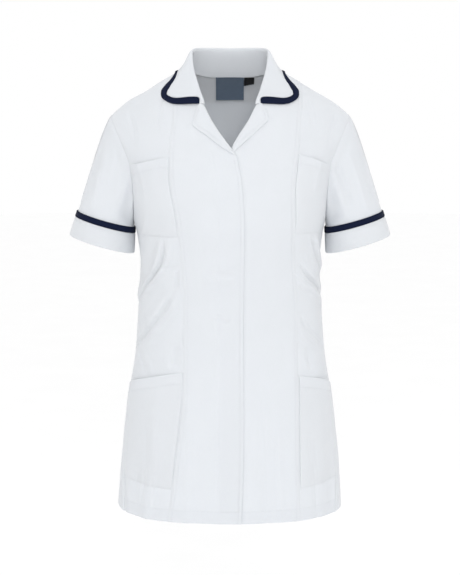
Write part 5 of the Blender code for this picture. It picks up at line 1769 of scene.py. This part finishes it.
def grid_solid(outer, inner):
    """Points and faces of a closed plate between two grids of points."""
    rows, columns = outer.shape[:2]
    size = rows * columns
    down, across = np.meshgrid(np.arange(rows - 1), np.arange(columns - 1), indexing="ij")
    first = (down * columns + across).ravel()
    top = np.stack([first, first + 1, first + columns + 1, first + columns], -1)
    faces = [top, top[:, ::-1] + size]
    for line in (np.arange(columns), size - 1 - np.arange(columns)):
        faces.append(np.stack([line[:-1] + size, line[1:] + size, line[1:], line[:-1]], -1))
    for line in (np.arange(rows)[::-1] * columns, np.arange(rows) * columns + columns - 1):
        faces.append(np.stack([line[:-1] + size, line[1:] + size, line[1:], line[:-1]], -1))
    return np.concatenate([outer.reshape(-1, 3), inner.reshape(-1, 3)]), np.concatenate(faces)


# The slider from top to bottom: how wide and deep its outline is at each row.
SliderLine = namedtuple("SliderLine", "row half_turn deep")
SLIDER = (
    SliderLine(-138.6, 0.35, 3.4),
    SliderLine(-139.4, 0.80, 4.3),
    SliderLine(-141.5, 1.08, 4.8),
    SliderLine(-145.0, 1.12, 4.8),
    SliderLine(-148.6, 0.95, 4.7),
    SliderLine(-149.8, 0.62, 4.0),
    SliderLine(-150.4, 0.45, 1.2),
    SliderLine(-156.0, 0.62, 0.9),
    SliderLine(-161.5, 0.80, 0.9),
    SliderLine(-162.8, 0.45, 0.8),
)


# Where the slider stands: its turn, and how deep under the surface its front is.
SLIDER_TURN = 1.3
SLIDER_DEPTH = 2.3


def make_slider(nylon):
    """The slider: a rounded body round the coil, with its flat tab hanging below."""
    counts = np.arange(len(SLIDER))
    fine = np.linspace(0, len(SLIDER) - 1, 55)
    row = smooth(counts, [line.row for line in SLIDER], fine)[:, None]
    half = np.interp(fine, counts, [line.half_turn for line in SLIDER])[:, None]
    deep = np.interp(fine, counts, [line.deep for line in SLIDER])[:, None]
    across = np.linspace(-1, 1, 15)[None, :]
    crown = np.sqrt(np.clip(1 - across ** 4, 0.0, 1))
    turn = SLIDER_TURN + half * across
    outer = cloth_surface(turn, row + 0 * turn, -SLIDER_DEPTH - (1 - crown) * deep * 0.35)[0]
    inner = cloth_surface(turn, row + 0 * turn, -SLIDER_DEPTH - deep + (1 - crown) * deep * 0.35)[0]
    dress(shell("zip_slider_nylon", outer, inner, nylon), "zip_slider")


FLOOR = -1.38
FLOOR_SPOKES = 96


def make_stage():
    """A pale floor far below, since the garment is shown as worn, above the ground."""
    data = bpy.data.meshes.new("floor")
    ring = np.linspace(0, 2 * math.pi, FLOOR_SPOKES + 1)[:-1]
    radii = (0.6, 1.5, 3.0, 6.0, 12.0)
    points = [(0.0, 0.0, FLOOR)]
    for radius in radii:
        points += [(radius * math.cos(angle), radius * math.sin(angle), FLOOR) for angle in ring]
    faces = [(0, 1 + place, 1 + (place + 1) % FLOOR_SPOKES) for place in range(FLOOR_SPOKES)]
    for index in range(len(radii) - 1):
        low = 1 + index * FLOOR_SPOKES
        high = low + FLOOR_SPOKES
        for place in range(FLOOR_SPOKES):
            beyond = (place + 1) % FLOOR_SPOKES
            faces.append((low + place, high + place, high + beyond, low + beyond))
    data.from_pydata(points, [], faces)
    floor = bpy.data.objects.new("floor", data)
    bpy.context.scene.collection.objects.link(floor)
    made = new_material("pale studio floor")
    place = add(made, "TexCoord").outputs["Object"]
    grain = add(made, "TexNoise", {"Vector": place, "Scale": 6.0, "Detail": 2.0})
    mixed = add(made, "Mix", {
        "Factor": grain.outputs["Fac"], MIX_A: colour("FCFCFC"), MIX_B: colour("FFFFFF"),
    }, data_type="RGBA")
    made.node_tree.links.new(mixed.outputs[MIX_RESULT], shader_of(made).inputs["Base Color"])
    shader_of(made).inputs["Roughness"].default_value = 0.9
    data.materials.append(made)


def soft_light(name, place, aim, size, power):
    """A flat lamp at a place, turned towards another."""
    data = bpy.data.lights.new(name, "AREA")
    data.shape = "RECTANGLE"
    data.size, data.size_y = size
    data.energy = power
    light = bpy.data.objects.new(name, data)
    bpy.context.scene.collection.objects.link(light)
    point_at(light, place, aim)


def point_at(thing, place, aim):
    """Puts a light or camera at a place, turned towards another."""
    thing.location = place
    way = np.array(aim, float) - np.array(place, float)
    flat = math.hypot(way[0], way[1])
    thing.rotation_euler = (math.pi / 2 + math.atan2(way[2], flat), 0.0, math.atan2(-way[0], way[1]))


# The photograph's view: a long lens a little above the garment's middle, looking slightly down.
CAMERA_LIFT = 8.2
CAMERA_DISTANCE = 2.6
CAMERA_AIM = (0.0, 0.0, -0.357)
CAMERA_LENS = 98.61


def make_camera():
    """The camera, at the photograph's angle."""
    data = bpy.data.cameras.new("camera")
    data.lens = CAMERA_LENS
    data.sensor_width = 36.0
    data.clip_end = 60.0
    camera = bpy.data.objects.new("camera", data)
    bpy.context.scene.collection.objects.link(camera)
    lift = math.radians(CAMERA_LIFT)
    place = (0.0, -CAMERA_DISTANCE * math.cos(lift), CAMERA_AIM[2] + CAMERA_DISTANCE * math.sin(lift))
    point_at(camera, place, CAMERA_AIM)
    bpy.context.scene.camera = camera


def make_light():
    """Plain soft studio light: a white surround, a key above in front and a low fill."""
    world = bpy.data.worlds.new("studio")
    world.use_nodes = True
    background = world.node_tree.nodes["Background"]
    background.inputs["Color"].default_value = (1.0, 1.0, 1.0, 1.0)
    background.inputs["Strength"].default_value = 1.0
    bpy.context.scene.world = world
    bpy.context.scene.view_settings.view_transform = "Standard"
    soft_light("key", place=(-0.05, -2.3, 1.7), aim=(0.0, 0.0, -0.3), size=(0.8, 0.8), power=9.5)
    soft_light("fill", place=(0.15, -2.6, 0.35), aim=(0.0, 0.0, -0.2), size=(0.7, 0.7), power=16.0)


make_camera()
make_light()
make_stage()
WHITE = polyester_cotton_twill()
NAVY = navy_binding_cloth()
SLATE = woven_label_satin()
BLACK = black_tag_satin()
TAPE = zip_tape_knit()
NYLON = nylon_coil()
THREAD = polyester_thread()
make_fronts(WHITE)
make_side_fronts(WHITE)
make_back(WHITE)
make_sleeves(WHITE)
make_cuffs(WHITE, NAVY)
make_collar(WHITE, NAVY)
make_lapels(WHITE)
make_pockets(WHITE)
make_labels({"neck_label": SLATE, "size_tag": BLACK})
make_zip(TAPE, NYLON)
make_stitches({
    "white": (THREAD, "white_cloth"),
    "navy": (NAVY, "navy_binding"),
    "slate": (SLATE, "slate_label"),
    "black": (BLACK, "black_tag"),
})
